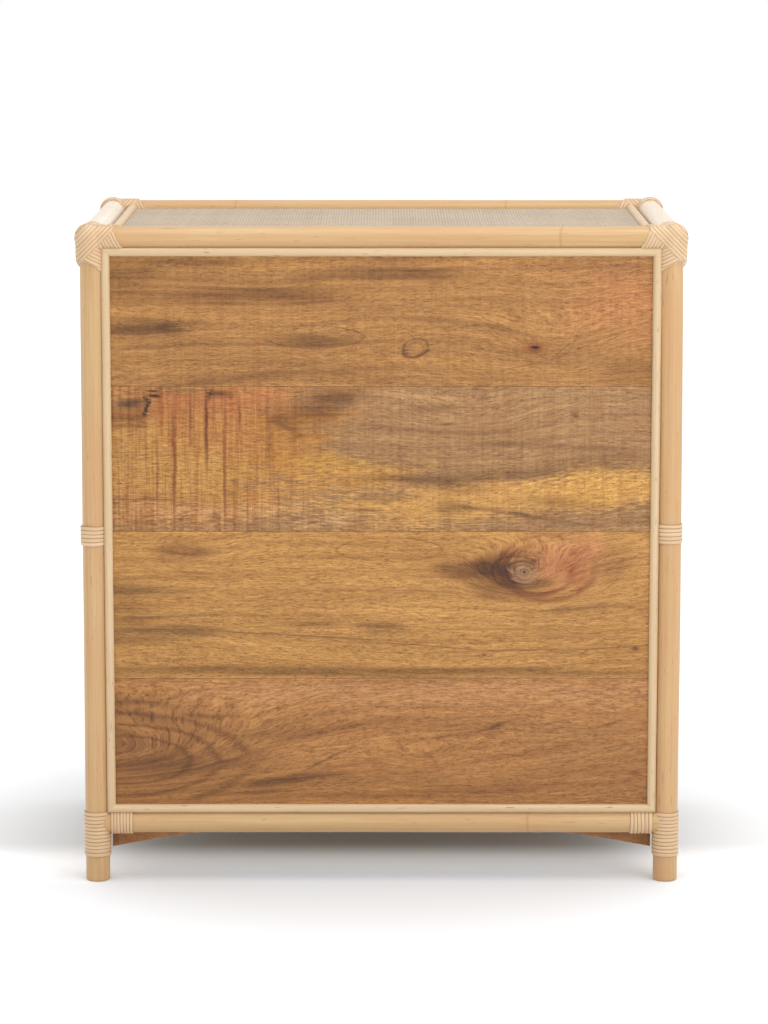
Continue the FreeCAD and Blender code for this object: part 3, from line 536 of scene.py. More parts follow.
bottom_board_marks = [
    stain(330, 172, 120, 46, (172, 154, 134), 0.7, 0.5),
    stain(290, 160, 52, 14, (158, 136, 116), 0.5, 0.7),
    stain(340, 246, 60, 7, (128, 104, 88), 0.75, 0.6, -6),
    stain(330, 226, 70, 9, (156, 124, 100), 0.6, 0.8, -10),
    ring(350, 168, 92, 34, (150, 122, 98), 0.5, 0.1),
    ring(352, 168, 134, 50, (150, 122, 98), 0.55, 0.08),
    ring(355, 168, 176, 66, (150, 118, 90), 0.5, 0.08),
    stain(250, 232, 40, 4, (140, 112, 92), 0.6, 0.7),
    stain(112, 141, 66, 6, (130, 106, 86), 0.85, 0.6, 6),
    stain(170, 124, 60, 3, (140, 100, 66), 0.6, 0.7, 5),
    stain(82, 165, 30, 1.2, (96, 70, 56), 0.75, 0.9, 25, fray=0.25),
    stain(60, 160, 50, 3, (150, 110, 84), 0.6, 0.8, 12),
    stain(-150, 216, 62, 2.5, (110, 84, 64), 0.8, 0.8, 12, fray=0.35),
    stain(-100, 205, 60, 4, (160, 118, 88), 0.5, 0.8, 12),
    stain(-238, 221, 18, 1.6, (140, 96, 70), 0.7, 0.8, 12, fray=0.25),
    stain(-313, 219, 26, 1.8, (128, 88, 64), 0.75, 0.8, 15, fray=0.25),
    ring(-30, 166, 40, 18, (150, 102, 74), 0.2, 0.12),
    stain(-343, 150, 10, 7, (180, 110, 80), 0.7, 0.8, fray=0.3),
    stain(-150, 128, 200, 5, (165, 122, 86), 0.55, 0.8, 2),
    stain(-60, 262, 300, 14, (206, 152, 100), 0.5, 0.9, kind="MIX"),
    stain(60, 210, 150, 8, (176, 146, 118), 0.5, 0.9, 4),
    stain(-200, 180, 120, 6, (180, 146, 112), 0.5, 0.9, 10),
    stain(-260, 150, 90, 5, (176, 140, 108), 0.5, 0.9, 6),
]
mango_back = [
    mango("mango back lowest", (206, 147, 84), (166, 117, 67),
          [(392, 172, 210, 62, 110), (-42, 168, 60, 24, 14)],
          bottom_board_marks, 0.08, (1.3, 0, 0.2)),
    mango("mango back lower", (220, 167, 94), (182, 131, 71),
          [(-193, 426, 52, 30, 50), (-150, 430, 34, 20, 14), (-240, 436, 80, 50, 26),
           (240, 452, 60, 30, 12)],
          lower_board_marks, 0.1, (3.7, 0, 0.55)),
    mango("mango back upper", (200, 158, 106), (160, 120, 80),
          [(-130, 640, 80, 30, 22), (-300, 600, 90, 40, -15)],
          upper_board_marks, 0.4, (5.1, 0, 0.9), 0.45),
    mango("mango back top", (212, 158, 90), (172, 123, 70),
          [(333, 754, 60, 26, 12), (90, 742, 80, 20, 12), (-226, 745, 80, 40, 22)],
          top_board_marks, 0.28, (7.9, 0, 0.4)),
]
mango_plain = mango("mango plain", (206, 150, 92), (160, 110, 66), [(120, 300, 160, 60, 40)], (),
                    0.15, (9.4, 0, 0.1))
marks = [top_board_marks, upper_board_marks, lower_board_marks, bottom_board_marks]
print(len(mango_back) + 1, "mango woods with", [len(board) for board in marks], "marks, from the top")

# %% [markdown]
# ## What cane does
# A rattan pole is peeled and sanded, so long pale and tan streaks run its whole length, with
# dark flecks and a ring at each joint of the plant. The mesh stores a grain place (distance
# along the pole first), so one recipe follows poles that run in any direction.

# %% The streaks of cane
cane_group, takes, gives = new_group(
    "cane streaks", {"Grain": "Vector"}, ["Streaks", "Fine", "Flecks", "Blush"])
tree = cane_group
plug(tree, remap(tree, grainy(tree, takes["Grain"], (2.2, 170, 170), 3, 0.6), 0.3, 0.7), gives["Streaks"])
plug(tree, remap(tree, grainy(tree, takes["Grain"], (14, 900, 900), 2, 0.5), 0.3, 0.7), gives["Fine"])
plug(tree, remap(tree, grainy(tree, takes["Grain"], (45, 420, 420), 1, 0.5), 0.68, 0.78), gives["Flecks"])
plug(tree, remap(tree, grainy(tree, takes["Grain"], (3.5, 14, 14), 3, 0.5), 0.4, 0.62), gives["Blush"])

turn_group, takes, gives = new_group("wound strips", {"Strip": "Float"}, ["Seam", "Tone", "Crown"])
tree = turn_group
across = calc(tree, "FRACT", takes["Strip"])
from_middle = calc(tree, "ABSOLUTE", minus(tree, times(tree, across, 2.0), 1.0))
plug(tree, remap(tree, from_middle, 0.8, 1.0, 0, 1, "SMOOTHSTEP"), gives["Seam"])
plug(tree, minus(tree, 1.0, calc(tree, "POWER", from_middle, 4)), gives["Crown"])
toss = tree.nodes.new("ShaderNodeTexWhiteNoise")
toss.noise_dimensions = "1D"
plug(tree, calc(tree, "FLOOR", takes["Strip"]), toss.inputs["W"])
plug(tree, toss.outputs["Value"], gives["Tone"])
print("cane streaks and wound strips are ready")


# %% Rattan poles, half-round trim and cane peel
def cane(name, pale, tan, blush, roughness, flecks=0.5, wound=False, knuckles=False, depth=0.2):
    """Cane: streaks and flecks, with painted shade in the grooves between strips, or dark rings, where they
    are stored.
    """
    material, tree, shader = new_material(name, roughness, 0.12)
    streaks = use(tree, cane_group, Grain=stored(tree, "grain"))
    colour = mix(tree, times(tree, streaks["Streaks"], 0.8), shade(*pale), shade(*tan))
    colour = mix(tree, times(tree, streaks["Blush"], 0.55), colour, shade(*blush))
    colour = darken(tree, colour, streaks["Fine"], 0.35, 226, 208, 186)
    colour = darken(tree, colour, streaks["Flecks"], flecks, 150, 112, 80)
    height = times(tree, streaks["Fine"], 0.25)
    if wound:
        strips = use(tree, turn_group, Strip=stored(tree, "strip", "Fac"))
        colour = mix(tree, times(tree, strips["Tone"], 0.5), colour, shade(*tan))
        # Painted shade: each wound strip is darkened along its edges, where it dips into the groove between
        # turns.
        colour = mix(tree, strips["Seam"], colour, shade(176, 140, 104), "MULTIPLY")
        height = plus(tree, height, strips["Crown"])
    if knuckles:
        ring_mask = stored(tree, "strip", "Fac")
        colour = darken(tree, colour, ring_mask, 0.28, 168, 126, 88)
    plug(tree, colour, shader.inputs["Base Color"])
    gloss = remap(tree, streaks["Streaks"], 0, 1, roughness - 0.05, roughness + 0.08)
    plug(tree, gloss, shader.inputs["Roughness"])
    raise_surface(tree, shader, height, depth * MM, 0.6)
    return material


# A paler copy of the rattan for the two side top rails: painted sheen, where they catch the light at a
# grazing angle.
sheen_pale_rattan = cane("pale rattan with painted sheen", (224, 214, 200), (206, 190, 170), (214, 196, 176), 0.4, 0.3, knuckles=True)
rattan = cane("rattan pole", (199, 167, 122), (181, 143, 94), (190, 145, 100), 0.42, 0.35, knuckles=True)
trim_cane = cane("half round cane", (208, 186, 152), (192, 162, 124), (198, 172, 134), 0.45, 0.6)
peel = cane("cane peel", (215, 190, 158), (195, 162, 122), (206, 172, 134), 0.4, 0.3, wound=True, depth=0.5)
print("rattan, trim and peel are ready")

# %% [markdown]
# ## The woven mat
# Flat strips of cane core are woven in a herringbone: each strip goes over two and under two,
# and the slant turns back every eight strips. The same rule gives the colour here and, later,
# the height of the mesh, so that the pattern and the relief agree.

# %% The herringbone rule as nodes
STRIP_WIDTH = 4.0 * MM
TURN_BACK = 8
weave_group, takes, gives = new_group("herringbone", {"Sheet": "Vector"}, ["Over", "Crown", "Tone"])
tree = weave_group
scaled = parts(tree, vector_calc(tree, "MULTIPLY", takes["Sheet"], (1 / STRIP_WIDTH,) * 3))
column, row = (calc(tree, "FLOOR", scaled[n]) for n in (0, 1))
zigzag = calc(tree, "PINGPONG", column, float(TURN_BACK))
step_number = calc(tree, "FLOORED_MODULO", plus(tree, zigzag, row), 4.0)
over = calc(tree, "LESS_THAN", step_number, 1.5)
plug(tree, over, gives["Over"])


def crown_nodes(value):
    """How far a strip arches, from 0 at its edges to 1 along its middle."""
    twice = times(tree, calc(tree, "FRACT", value), 2.0)
    off = calc(tree, "ABSOLUTE", minus(tree, twice, 1.0))
    return minus(tree, 1.0, calc(tree, "POWER", off, 3.0))


def choose(first, second):
    """first where a standing strip is on top, and second elsewhere."""
    difference = minus(tree, first, second)
    return plus(tree, second, times(tree, difference, over))


plug(tree, choose(crown_nodes(scaled["X"]), crown_nodes(scaled["Y"])), gives["Crown"])
toss = tree.nodes.new("ShaderNodeTexWhiteNoise")
toss.noise_dimensions = "1D"
plug(tree, choose(column, plus(tree, row, 500.5)), toss.inputs["W"])
plug(tree, toss.outputs["Value"], gives["Tone"])

woven, tree, shader = new_material("woven cane", 0.6)
sheet_place = stored(tree, "grain")
weave = use(tree, weave_group, Sheet=sheet_place)
colour = mix(tree, times(tree, weave["Tone"], 0.4), shade(172, 156, 136), shade(150, 132, 110))
colour = mix(tree, times(tree, weave["Over"], 0.75), colour, shade(190, 176, 154))
speckle = remap(tree, grainy(tree, sheet_place, (260, 260, 1), 2, 0.6), 0.6, 0.72)
colour = darken(tree, colour, speckle, 0.55, 140, 112, 88)
cloud = remap(tree, grainy(tree, sheet_place, (7, 7, 1), 2, 0.5), 0.4, 0.65)
colour = darken(tree, colour, cloud, 0.25, 226, 204, 184)
# Painted shade: the strips are darkened where they dip at their edges and into the gaps between them.
gap = minus(tree, 1.0, weave["Crown"])
colour = darken(tree, colour, gap, 0.55, 150, 122, 94)
plug(tree, colour, shader.inputs["Base Color"])
plug(tree, remap(tree, weave["Tone"], 0, 1, 0.5, 0.66), shader.inputs["Roughness"])
raise_surface(tree, shader, weave["Crown"], 0.35 * MM, 0.7)
print("herringbone:", len(weave_group.nodes), "nodes")

# %% [markdown]
# The drawer boxes, the runners and the boards under the mats are plain sanded wood, and the
# knobs are turned from darker wood. Both use the mango figure again with quieter values.


# %% Inner wood and turned wood
def sanded(name, light, dark, turned):
    """Plain wood with its grain along the board: the turn carries the board's run onto X."""
    material, tree, shader = new_material(name, 0.6)
    along = tree.nodes.new("ShaderNodeMapping")
    along.inputs["Rotation"].default_value = [math.radians(angle) for angle in turned]
    plug(tree, object_place(tree), along.inputs["Vector"])
    figure = use(tree, figure_group, Place=along.outputs[0], Lift=0.0)
    colour = mix(tree, figure["Bands"], shade(*light), shade(*dark))
    colour = darken(tree, colour, figure["Fibres"], 0.4, 205, 190, 170)
    colour = darken(tree, colour, figure["Pores"], 0.4, 140, 115, 90)
    plug(tree, colour, shader.inputs["Base Color"])
    plug(tree, remap(tree, figure["Fibres"], 0, 1, 0.5, 0.7), shader.inputs["Roughness"])
    raise_surface(tree, shader, figure["Fibres"], 0.12 * MM, 0.5)
    return material


inner_across = sanded("inner wood across", (214, 180, 134), (188, 148, 104), (0, 0, 0))
inner_deep = sanded("inner wood deep", (214, 180, 134), (190, 150, 106), (0, 0, 90))
inner_flat = sanded("inner wood flat", (212, 178, 132), (186, 146, 102), (90, 0, 0))
inner_tall = sanded("inner wood tall", (206, 168, 122), (180, 140, 96), (0, 90, 0))
knob_wood = sanded("turned wood", (150, 100, 62), (112, 72, 44), (0, 0, 90))
print("materials so far:", len(bpy.data.materials))

# %% [markdown]
# ## Making a piece
# Every mesh is built in place, so its object stays at the origin. A piece rides on a body,
# stands for the parts of the frame that it hides, and takes one material as its finish.
# The grain place is a distance along the grain first, and the strip number counts the turns of
# a binding, or marks the joints of a pole.


# %% Tools for meshes
def new_shape():
    """An empty mesh that stores a grain place and a strip number at its points."""
    bm = bmesh.new()
    bm.verts.layers.float_vector.new("grain")
    bm.verts.layers.float.new("strip")
    return bm


def layers(bm):
    """Where a shape stores its grain place and its strip number."""
    return bm.verts.layers.float_vector["grain"], bm.verts.layers.float["strip"]


def add_shape(bm, other):
    """Move one shape into another."""
    passing = bpy.data.meshes.new("passing")
    other.to_mesh(passing)
    other.free()
    bm.from_mesh(passing)
    bpy.data.meshes.remove(passing)


def finish_piece(name, bm, material, body, nodes, crease=40):
    """Write a shape as an object on a body, and hide the nodes of the frame that it stands for."""
    mesh = bpy.data.meshes.new(name)
    bm.to_mesh(mesh)
    bm.free()
    mesh.polygons.foreach_set("use_smooth", [True] * len(mesh.polygons))
    mesh.set_sharp_from_angle(angle=math.radians(crease))
    mesh.materials.append(material)
    piece = bpy.data.objects.new(name, mesh)
    put_in_scene(piece)
    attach(piece, body)
    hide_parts(*nodes)
    print(f"{name}: {len(mesh.polygons)} faces on {body}")
    return piece


def middle(node):
    """The middle of a node's box."""
    low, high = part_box(node)
    return (low + high) / 2


def size(node):
    """How far a node's box reaches along each axis."""
    low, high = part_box(node)
    return high - low


def along_run(start, finish):
    """The move that carries the upright Z axis onto the run from start to finish."""
    turn = (finish - start).to_track_quat("Z", "Y").to_matrix().to_4x4()
    return Matrix.Translation(start) @ turn


def close_holes(bm):
    """Put a face over every open rim."""
    bmesh.ops.holes_fill(bm, edges=[edge for edge in bm.edges if edge.is_boundary])


def cut_away(bm, point, away):
    """Remove what lies beyond a plane, and close the cut."""
    everything = bm.verts[:] + bm.edges[:] + bm.faces[:]
    bmesh.ops.bisect_plane(bm, geom=everything, plane_co=point, plane_no=away, clear_outer=True)
    close_holes(bm)


def plain_rod(bm, radius, length, sides):
    """A closed rod up the Z axis from the origin."""
    bmesh.ops.create_cone(
        bm, cap_ends=True, segments=sides, radius1=radius, radius2=radius, depth=length)
    bmesh.ops.translate(bm, verts=bm.verts, vec=(0, 0, length / 2))


def relax(bm, factor):
    """Smooth every point a little."""
    bmesh.ops.smooth_vert(
        bm, verts=bm.verts, factor=factor, use_axis_x=True, use_axis_y=True, use_axis_z=True)


def tube(bm, radius, length, sides, step):
    """The same rod, divided into rings."""
    plain_rod(bm, radius, length, sides)
    long_edges = [edge for edge in bm.edges if edge.calc_length() > length * 0.9]
    bmesh.ops.subdivide_edges(bm, edges=long_edges, cuts=max(1, round(length / step) - 1))


print("a post's box is", [round(n, 4) for n in size("post_back_left")])


# %% [markdown]
# ## Poles
# A pole starts as a rod with rings along it. Real rattan is a little thick and thin, swells at
# each joint of the plant and has a fine groove there, so tilted rings are cut in beside each
# joint and moved out and in. The ends of the posts that show are rounded with a bevel.

# %% One rattan pole
POLE_SIDES = 40
RING_STEP = 14 * MM
POST_X, POST_Y = (abs(n) for n in middle("post_back_left")[:2])
KNUCKLE_RINGS = (-9, -6, -4, -2, -1, 0, 1, 2, 4, 6, 9)


def rail_run(node):
    """A rail's middle, its way, how far it is to a post's axis, and its radius."""
    extent = size(node)
    level_x = extent.x > extent.y
    return middle(node), X if level_x else Y, POST_X if level_x else POST_Y, extent.z / 2


def pole(name, node, start, finish, radius, knuckles=(), bow=0.0, foot=0.0, head=0.0, lean_out=0.0,
         material=rattan):
    """A pole from start to finish, that stands for one node of the frame."""
    bm = new_shape()
    grain, strip = layers(bm)
    length = (finish - start).length
    plain_rod(bm, radius, length, POLE_SIDES)
    for height, ease in ((0.0, foot), (length, head)):
        if ease:
            rim = [edge for edge in bm.edges if all(abs(v.co.z - height) < MM for v in edge.verts)]
            bmesh.ops.bevel(bm, geom=rim, offset=ease, segments=5, profile=0.5, affect="EDGES", material=-1)
    long_edges = [edge for edge in bm.edges if edge.calc_length() > length * 0.8]
    bmesh.ops.subdivide_edges(bm, edges=long_edges, cuts=round(length / RING_STEP) - 1)
    for place, lean in knuckles:
        for gap in KNUCKLE_RINGS:
            everything = bm.verts[:] + bm.edges[:] + bm.faces[:]
            bmesh.ops.bisect_plane(
                bm, geom=everything, plane_co=(0, 0, place + gap * MM), plane_no=(-lean, 0, 1))
    seed = len(bpy.data.objects)
    for vert in bm.verts:
        x, y, z = vert.co
        vert[grain] = (z + seed * 1.37, x, y)
        swell = 1 + 0.02 * noise.noise((x * 25, y * 25, z * 5 + seed * 3.1))
        for place, lean in knuckles:
            gap = z - place - lean * x
            swell += 0.012 * math.exp(-(gap / (8 * MM)) ** 2) - 0.012 * math.exp(-(gap / (1.5 * MM)) ** 2)
            vert[strip] += math.exp(-(gap / (1.3 * MM)) ** 2)
        arc = bow * math.sin(math.pi * z / length) + lean_out * (z / length) ** 3
        vert.co = (x * swell + arc, y * swell + arc * 0.3, z)
    bmesh.ops.transform(bm, matrix=along_run(start, finish), verts=bm.verts)
    bmesh.ops.recalc_face_normals(bm, faces=bm.faces)
    return finish_piece(name, bm, material, "chest", [node])


print("the posts stand", round(POST_X, 4), "and", round(POST_Y, 4), "from the middle")


# %% The four posts
post_radius = size("post_back_left").x / 2
post_knuckles = {
    "back_left": [],
    "back_right": [],
    "front_left": [(0.22, 0.1), (0.7, 0.1)],
    "front_right": [(0.52, -0.1)],
}
for corner, knuckles in post_knuckles.items():
    node = "post_" + corner
    centre = middle(node)
    foot_point = Vector((centre.x, centre.y, 0))
    head_point = Vector((centre.x, centre.y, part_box(node)[1].z))
    lean_out = 2.4 * MM * math.copysign(1, centre.x)
    pole(corner + "_post", node, foot_point, head_point, post_radius, knuckles, 0.6 * MM, 3 * MM,
         post_radius * 0.8, lean_out)

# %% The eight rails
rail_knuckles = {
    "top_rail_back": [(-0.241, 0.3)],
    "top_rail_front": [(-0.18, 0.1), (0.21, 0.1)],
    "top_rail_left": [(0.05, 0.1)],
    "top_rail_right": [(-0.08, -0.1)],
    "bottom_rail_back": [(-0.201, 0.2)],
    "bottom_rail_front": [(0.12, 0.1)],
    "bottom_rail_left": [(-0.06, 0.1)],
    "bottom_rail_right": [(0.09, 0.1)],
}
for node, knuckles in rail_knuckles.items():
    centre, long_way, half, radius = rail_run(node)
    start, finish = centre - long_way * half, centre + long_way * half
    places = [(half + place, lean) for place, lean in knuckles]
    # The two side top rails take the paler copy of the rattan, with its painted sheen.
    material = sheen_pale_rattan if node in ("top_rail_left", "top_rail_right") else rattan
    name = node.replace("rail", "pole")
    pole(name, node, start, finish, radius, places, 0.5 * MM, material=material)

# %% [markdown]
# ## Wound bindings
# Strips of peel are wound round a pole like thread on a reel. The skin of such a binding is
# one sleeve whose rings rise to a crown on every strip and dip to a groove between strips.
# A little noise along the pole keeps the grooves from being ruled lines.

# %% A wound sleeve
PEEL_THICK = 2.0 * MM
RINGS_A_STRIP = 6


def sleeve(bm, start, finish, radius, strips):
    """Peel wound round a pole, from start to finish."""
    own = new_shape()
    grain, strip = layers(own)
    length = (finish - start).length
    width = length / strips
    tube(own, radius, length, 48, width / RINGS_A_STRIP)
    seed = random.random() * 50
    for vert in own.verts:
        x, y, z = vert.co
        turn = z / width
        off = abs(2 * (turn % 1) - 1)
        crown = 1 - off ** 4
        lift = PEEL_THICK * (0.5 + 0.4 * crown + 0.1 * noise.noise((math.floor(turn) * 3.3, seed, 0)))
        grown = (radius + lift) / radius
        wave = 0.9 * MM * noise.noise((x * 45, y * 45, turn * 0.35 + seed))
        vert[strip] = turn + math.floor(seed)
        vert[grain] = (math.atan2(y, x) * radius + seed, z, 0)
        vert.co = (x * grown, y * grown, z + wave)
    bmesh.ops.transform(own, matrix=along_run(start, finish), verts=own.verts)
    bmesh.ops.recalc_face_normals(own, faces=own.faces)
    add_shape(bm, own)


random.seed(7)
print("the peel stands", PEEL_THICK, "m off its pole")

# %% Legs, middle bands and the ends of the bottom rails
leg_low, leg_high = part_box("leg_bindings")
band_low, band_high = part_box("mid_bands")
legs, bands = new_shape(), new_shape()
for side in (-1, 1):
    for end in (-1, 1):
        foot_point = Vector((side * POST_X, end * POST_Y, 0))
        sleeve(legs, foot_point + UP * leg_low.z, foot_point + UP * leg_high.z, post_radius, 12)
        drop = UP * (random.random() - 0.5) * 6 * MM
        band_foot = foot_point + drop
        sleeve(bands, band_foot + UP * band_low.z, band_foot + UP * band_high.z, post_radius, 5)
finish_piece("leg_windings", legs, peel, "chest", ["leg_bindings"])
finish_piece("middle_windings", bands, peel, "chest", ["mid_bands"])

WRAP_START = post_radius + 2.2 * MM
WRAP_END = WRAP_START + 30 * MM
wraps = new_shape()
for node in ("bottom_rail_front", "bottom_rail_back", "bottom_rail_left", "bottom_rail_right"):
    centre, long_way, half, radius = rail_run(node)
    for end in (-1, 1):
        first = centre + long_way * end * (half - WRAP_START)
        last = centre + long_way * end * (half - WRAP_END)
        sleeve(wraps, first, last, radius, random.choice((6, 7)))
finish_piece("rail_windings", wraps, peel, "chest", ["rail_bindings"])

# %% [markdown]
# ## Corner bindings
# Where three poles meet, peel is laid slantwise over the corner, and the turns on either side
# lean towards the inner angle, like the bones of a fish. Three rods and a ball are melted into
# one smooth skin with a voxel remesh, the ends are cut on a slant, and every point is then
# raised by the strip that it belongs to.

# %% The fishbone rule
INNER, END_NEAR, END_FAR = 10 * MM, 33 * MM, 47 * MM
BONE = 4.4 * MM
END_RUN = Vector((END_FAR - END_NEAR, 27 * MM)).normalized()


def bone_strip(s, t):
    """The strip number at s along one pole and t along the other, both from where they cross."""
    slant = (s + t) / math.sqrt(2)
    if slant < INNER * math.sqrt(2):
        return 40 + (INNER * math.sqrt(2) - slant) / BONE
    far, near = max(s, t), min(s, t)
    beyond = (END_FAR - far) * END_RUN.y - (INNER - near) * END_RUN.x
    return (20 if s > t else 0) + beyond / BONE + 0.001


def fishbone(co, normal):
    """Which strip a point of the corner is on: its face is the one that it looks out of."""
    run = (POST_X - abs(co.x), POST_Y - abs(co.y), CORNER_Z - co.z)
    look = max(range(3), key=lambda n: abs(normal[n]) * (2.4 if n == 1 else 1))
    first, second = [n for n in range(3) if n != look]
    return bone_strip(run[first], run[second])


print("the middle of the corner is on strip", round(bone_strip(0, 0), 2))

# %% Four corners
CORNER_Z = middle("top_rail_back").z
SKIN = 1.15 * MM
ARM_MM, END_MM, END_SLANT = 70, 41.5, 0.5
CORNER_BALL, CORNER_OUT = 19 * MM, 1.5 * MM
corners = new_shape()
for side in (-1, 1):
    for end in (-1, 1):
        corner = Vector((side * POST_X, end * POST_Y, CORNER_Z))
        melted = bmesh.new()
        arms = (
            (Vector((-side, 0, 0)), size("top_rail_back").z / 2 + 1.6 * MM),
            (Vector((0, -end, 0)), size("top_rail_left").z / 2 + 0.9 * MM),
            (Vector((0, 0, -1)), post_radius + 2.6 * MM),
        )
        for arm, radius in arms:
            own = bmesh.new()
            tube(own, radius, ARM_MM * MM, POLE_SIDES, 10 * MM)
            tip = corner + arm * ARM_MM * MM
            bmesh.ops.transform(own, matrix=along_run(corner, tip), verts=own.verts)
            add_shape(melted, own)
        bmesh.ops.create_icosphere(
            melted, subdivisions=4, radius=CORNER_BALL,
            matrix=Matrix.Translation(corner + CORNER_OUT * side * X))
        blank_mesh = bpy.data.meshes.new("corner blank")
        melted.to_mesh(blank_mesh)
        melted.free()
        blank = bpy.data.objects.new("corner blank", blank_mesh)
        put_in_scene(blank)
        melt = blank.modifiers.new("melt", "REMESH")
        melt.mode, melt.voxel_size = "VOXEL", SKIN
        finished = blank.evaluated_get(bpy.context.evaluated_depsgraph_get())
        skin_mesh = bpy.data.meshes.new_from_object(finished)
        bpy.data.objects.remove(blank)
        skin = new_shape()
        skin.from_mesh(skin_mesh)
        bpy.data.meshes.remove(skin_mesh)
        for _ in range(6):
            relax(skin, 0.5)
        for arm, _ in arms:
            others = [other for other, _ in arms if other is not arm]
            away = (arm - END_SLANT * (others[0] + others[1])).normalized()
            cut_away(skin, corner + arm * END_MM * MM, away)
        bmesh.ops.recalc_face_normals(skin, faces=skin.faces)
        skin.normal_update()
        grain, strip = layers(skin)
        raised = []
        for vert in skin.verts:
            turn = fishbone(vert.co, vert.normal)
            off = abs(2 * (turn % 1) - 1)
            lift = (0.9 * (1 - off ** 4) + 0.5 * noise.noise((math.floor(turn) * 2.7, side, end))) * MM
            vert[strip] = turn + 100 + side * 7 + end * 3
            vert[grain] = (vert.co.x + vert.co.y + vert.co.z, turn * BONE, 0)
            raised.append(vert.co + vert.normal * lift)
        for vert, place in zip(skin.verts, raised):
            vert.co = place
        add_shape(corners, skin)
finish_piece("corner_windings", corners, peel, "chest", ["corner_bindings"], 70)

# %% [markdown]
# ## Half-round cane
# Every panel is edged with half-round cane. A strip is a rod cut along its middle by the
# panel's face and, in a frame, across its ends at 45 degrees, so that the corners are mitred.


# %% One strip and one frame
TRIM_SIDES = 22


def half_round(bm, start, finish, out, radius, mitres=()):
    """A strip that lies on a face which looks out. Each mitre is a point and a direction to clear."""
    own = new_shape()
    grain, _ = layers(own)
    length = (finish - start).length
    tube(own, radius, length, TRIM_SIDES, 16 * MM)
    seed = random.random() * 40
    for vert in own.verts:
        x, y, z = vert.co
        vert[grain] = (z + seed, x, y)
        swell = 1 + 0.03 * noise.noise((seed, z * 9, 0))
        swell += 0.02 * noise.noise((x * 90, y * 90, z * 12 + seed))
        vert.co = (x * swell, y * swell, z)
    bmesh.ops.transform(own, matrix=along_run(start, finish), verts=own.verts)
    cut_away(own, start, -out)
    for point, away in mitres:
        cut_away(own, point, away)
    bmesh.ops.recalc_face_normals(own, faces=own.faces)
    add_shape(bm, own)


def trim_frame(low, high, across, up, out, wall, radius):
    """Four mitred strips inside a rectangle: returns the level pair and the upright pair."""
    level, upright = new_shape(), new_shape()
    for target, first, second, a_ends, b_ends in (
        (level, across, up, (low[0], high[0]), (low[1], high[1])),
        (upright, up, across, (low[1], high[1]), (low[0], high[0])),
    ):
        for edge, inward in ((b_ends[0], 1), (b_ends[1], -1)):
            tips = [first * a + second * edge + out * wall for a in a_ends]
            ends = [first * a + second * (edge + inward * radius) + out * wall for a in a_ends]
            mitres = [(tips[0], second * inward - first), (tips[1], second * inward + first)]
            half_round(target, ends[0], ends[1], out, radius, mitres)
    return level, upright


print("a strip of trim has", TRIM_SIDES // 2, "sides round its half")

# %% Trim on the back
back_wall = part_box("back_plank_1")[1].y
low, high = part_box("back_trim_upright")
back_radius = high.y - back_wall
level, upright = trim_frame((low.x, low.z), (high.x, high.z), X, UP, Y, back_wall, back_radius)
finish_piece("back_trim_level_pair", level, trim_cane, "chest", ["back_trim_level"])
finish_piece("back_trim_upright_pair", upright, trim_cane, "chest", ["back_trim_upright"])

# %% Trim on the sides and the top
for name, sign in (("left", -1), ("right", 1)):
    low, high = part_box("side_trim_" + name)
    out = X * (1 if low.x > 0 else -1)
    wall = min(abs(low.x), abs(high.x))
    radius = high.x - low.x
    level, upright = trim_frame((low.y, low.z), (high.y, high.z), Y, UP, out, wall, radius)
    add_shape(level, upright)
    finish_piece(f"side_trim_frame_{name}", level, trim_cane, "chest", ["side_trim_" + name])

low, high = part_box("top_trim")
top_strips = new_shape()
top_radius = high.z - low.z
for side in (-1, 1):
    line = side * (high.x - top_radius)
    half_round(top_strips, Vector((line, low.y, low.z)), Vector((line, high.y, low.z)), UP, top_radius)
finish_piece("top_trim_pair", top_strips, trim_cane, "chest", ["top_trim"])

# %% [markdown]
# ## Boards
# A board is sawn square and then its edges are eased with sandpaper. The frame's own shape is
# copied, its loose triangles are welded and flattened into whole faces, and a small bevel
# catches the light along every edge.


# %% Eased copies of the frame's boards
def eased(name, node, material, ease=1.0, body="chest"):
    """A copy of a node's own shape, with its edges eased by some millimetres."""
    bm = bmesh.new()
    bm.from_mesh(frame["nodes"][node].data)
    bmesh.ops.remove_doubles(bm, verts=bm.verts, dist=0.01 * MM)
    bmesh.ops.dissolve_limit(bm, angle_limit=math.radians(2), verts=bm.verts, edges=bm.edges)
    corners = [edge for edge in bm.edges if edge.calc_face_angle(0) > math.radians(50)]
    bmesh.ops.bevel(bm, geom=corners, offset=ease * MM, segments=2, profile=0.5, affect="EDGES",
                    clamp_overlap=True, material=-1)
    bmesh.ops.recalc_face_normals(bm, faces=bm.faces)
    return finish_piece(name, bm, material, body, [node], 30)


for number, material in enumerate(mango_back, 1):
    eased(f"back_board_{number}", f"back_plank_{number}", material, 0.8)
eased("back_apron_board", "back_apron", mango_plain)
eased("front_apron_board", "front_apron", mango_plain)
eased("divider_boards", "drawer_dividers", mango_plain)
eased("side_apron_boards", "side_aprons", inner_deep)
eased("back_battens_eased", "back_battens", inner_tall)
eased("floor_board", "bottom_board", inner_flat)
eased("lid_board", "top_board", inner_flat)
for name in ("left", "right"):
    eased(f"side_panel_{name}", f"side_board_{name}", inner_deep)
    eased(f"runner_set_{name}", f"drawer_runners_{name}", inner_deep)

# %% [markdown]
# ## Mats
# A mat starts as a grid with two squares to every strip. Each point is raised where the strip
# on top of it arches, by the herringbone rule, and then the rim is turned down to give the
# mat its thickness.

# %% One woven mat
MAT_RELIEF = 0.5 * MM


def weave_height(u, v):
    """How high the strip on top arches, at a place on the sheet."""
    column, row = math.floor(u / STRIP_WIDTH + 1e-6), math.floor(v / STRIP_WIDTH + 1e-6)
    zigzag = TURN_BACK - abs(column % (2 * TURN_BACK) - TURN_BACK)
    standing = (zigzag + row) % 4 < 2
    across = (u if standing else v) / STRIP_WIDTH
    off = abs(2 * ((across + 1e-6) % 1) - 1)
    return 1 - off ** 3


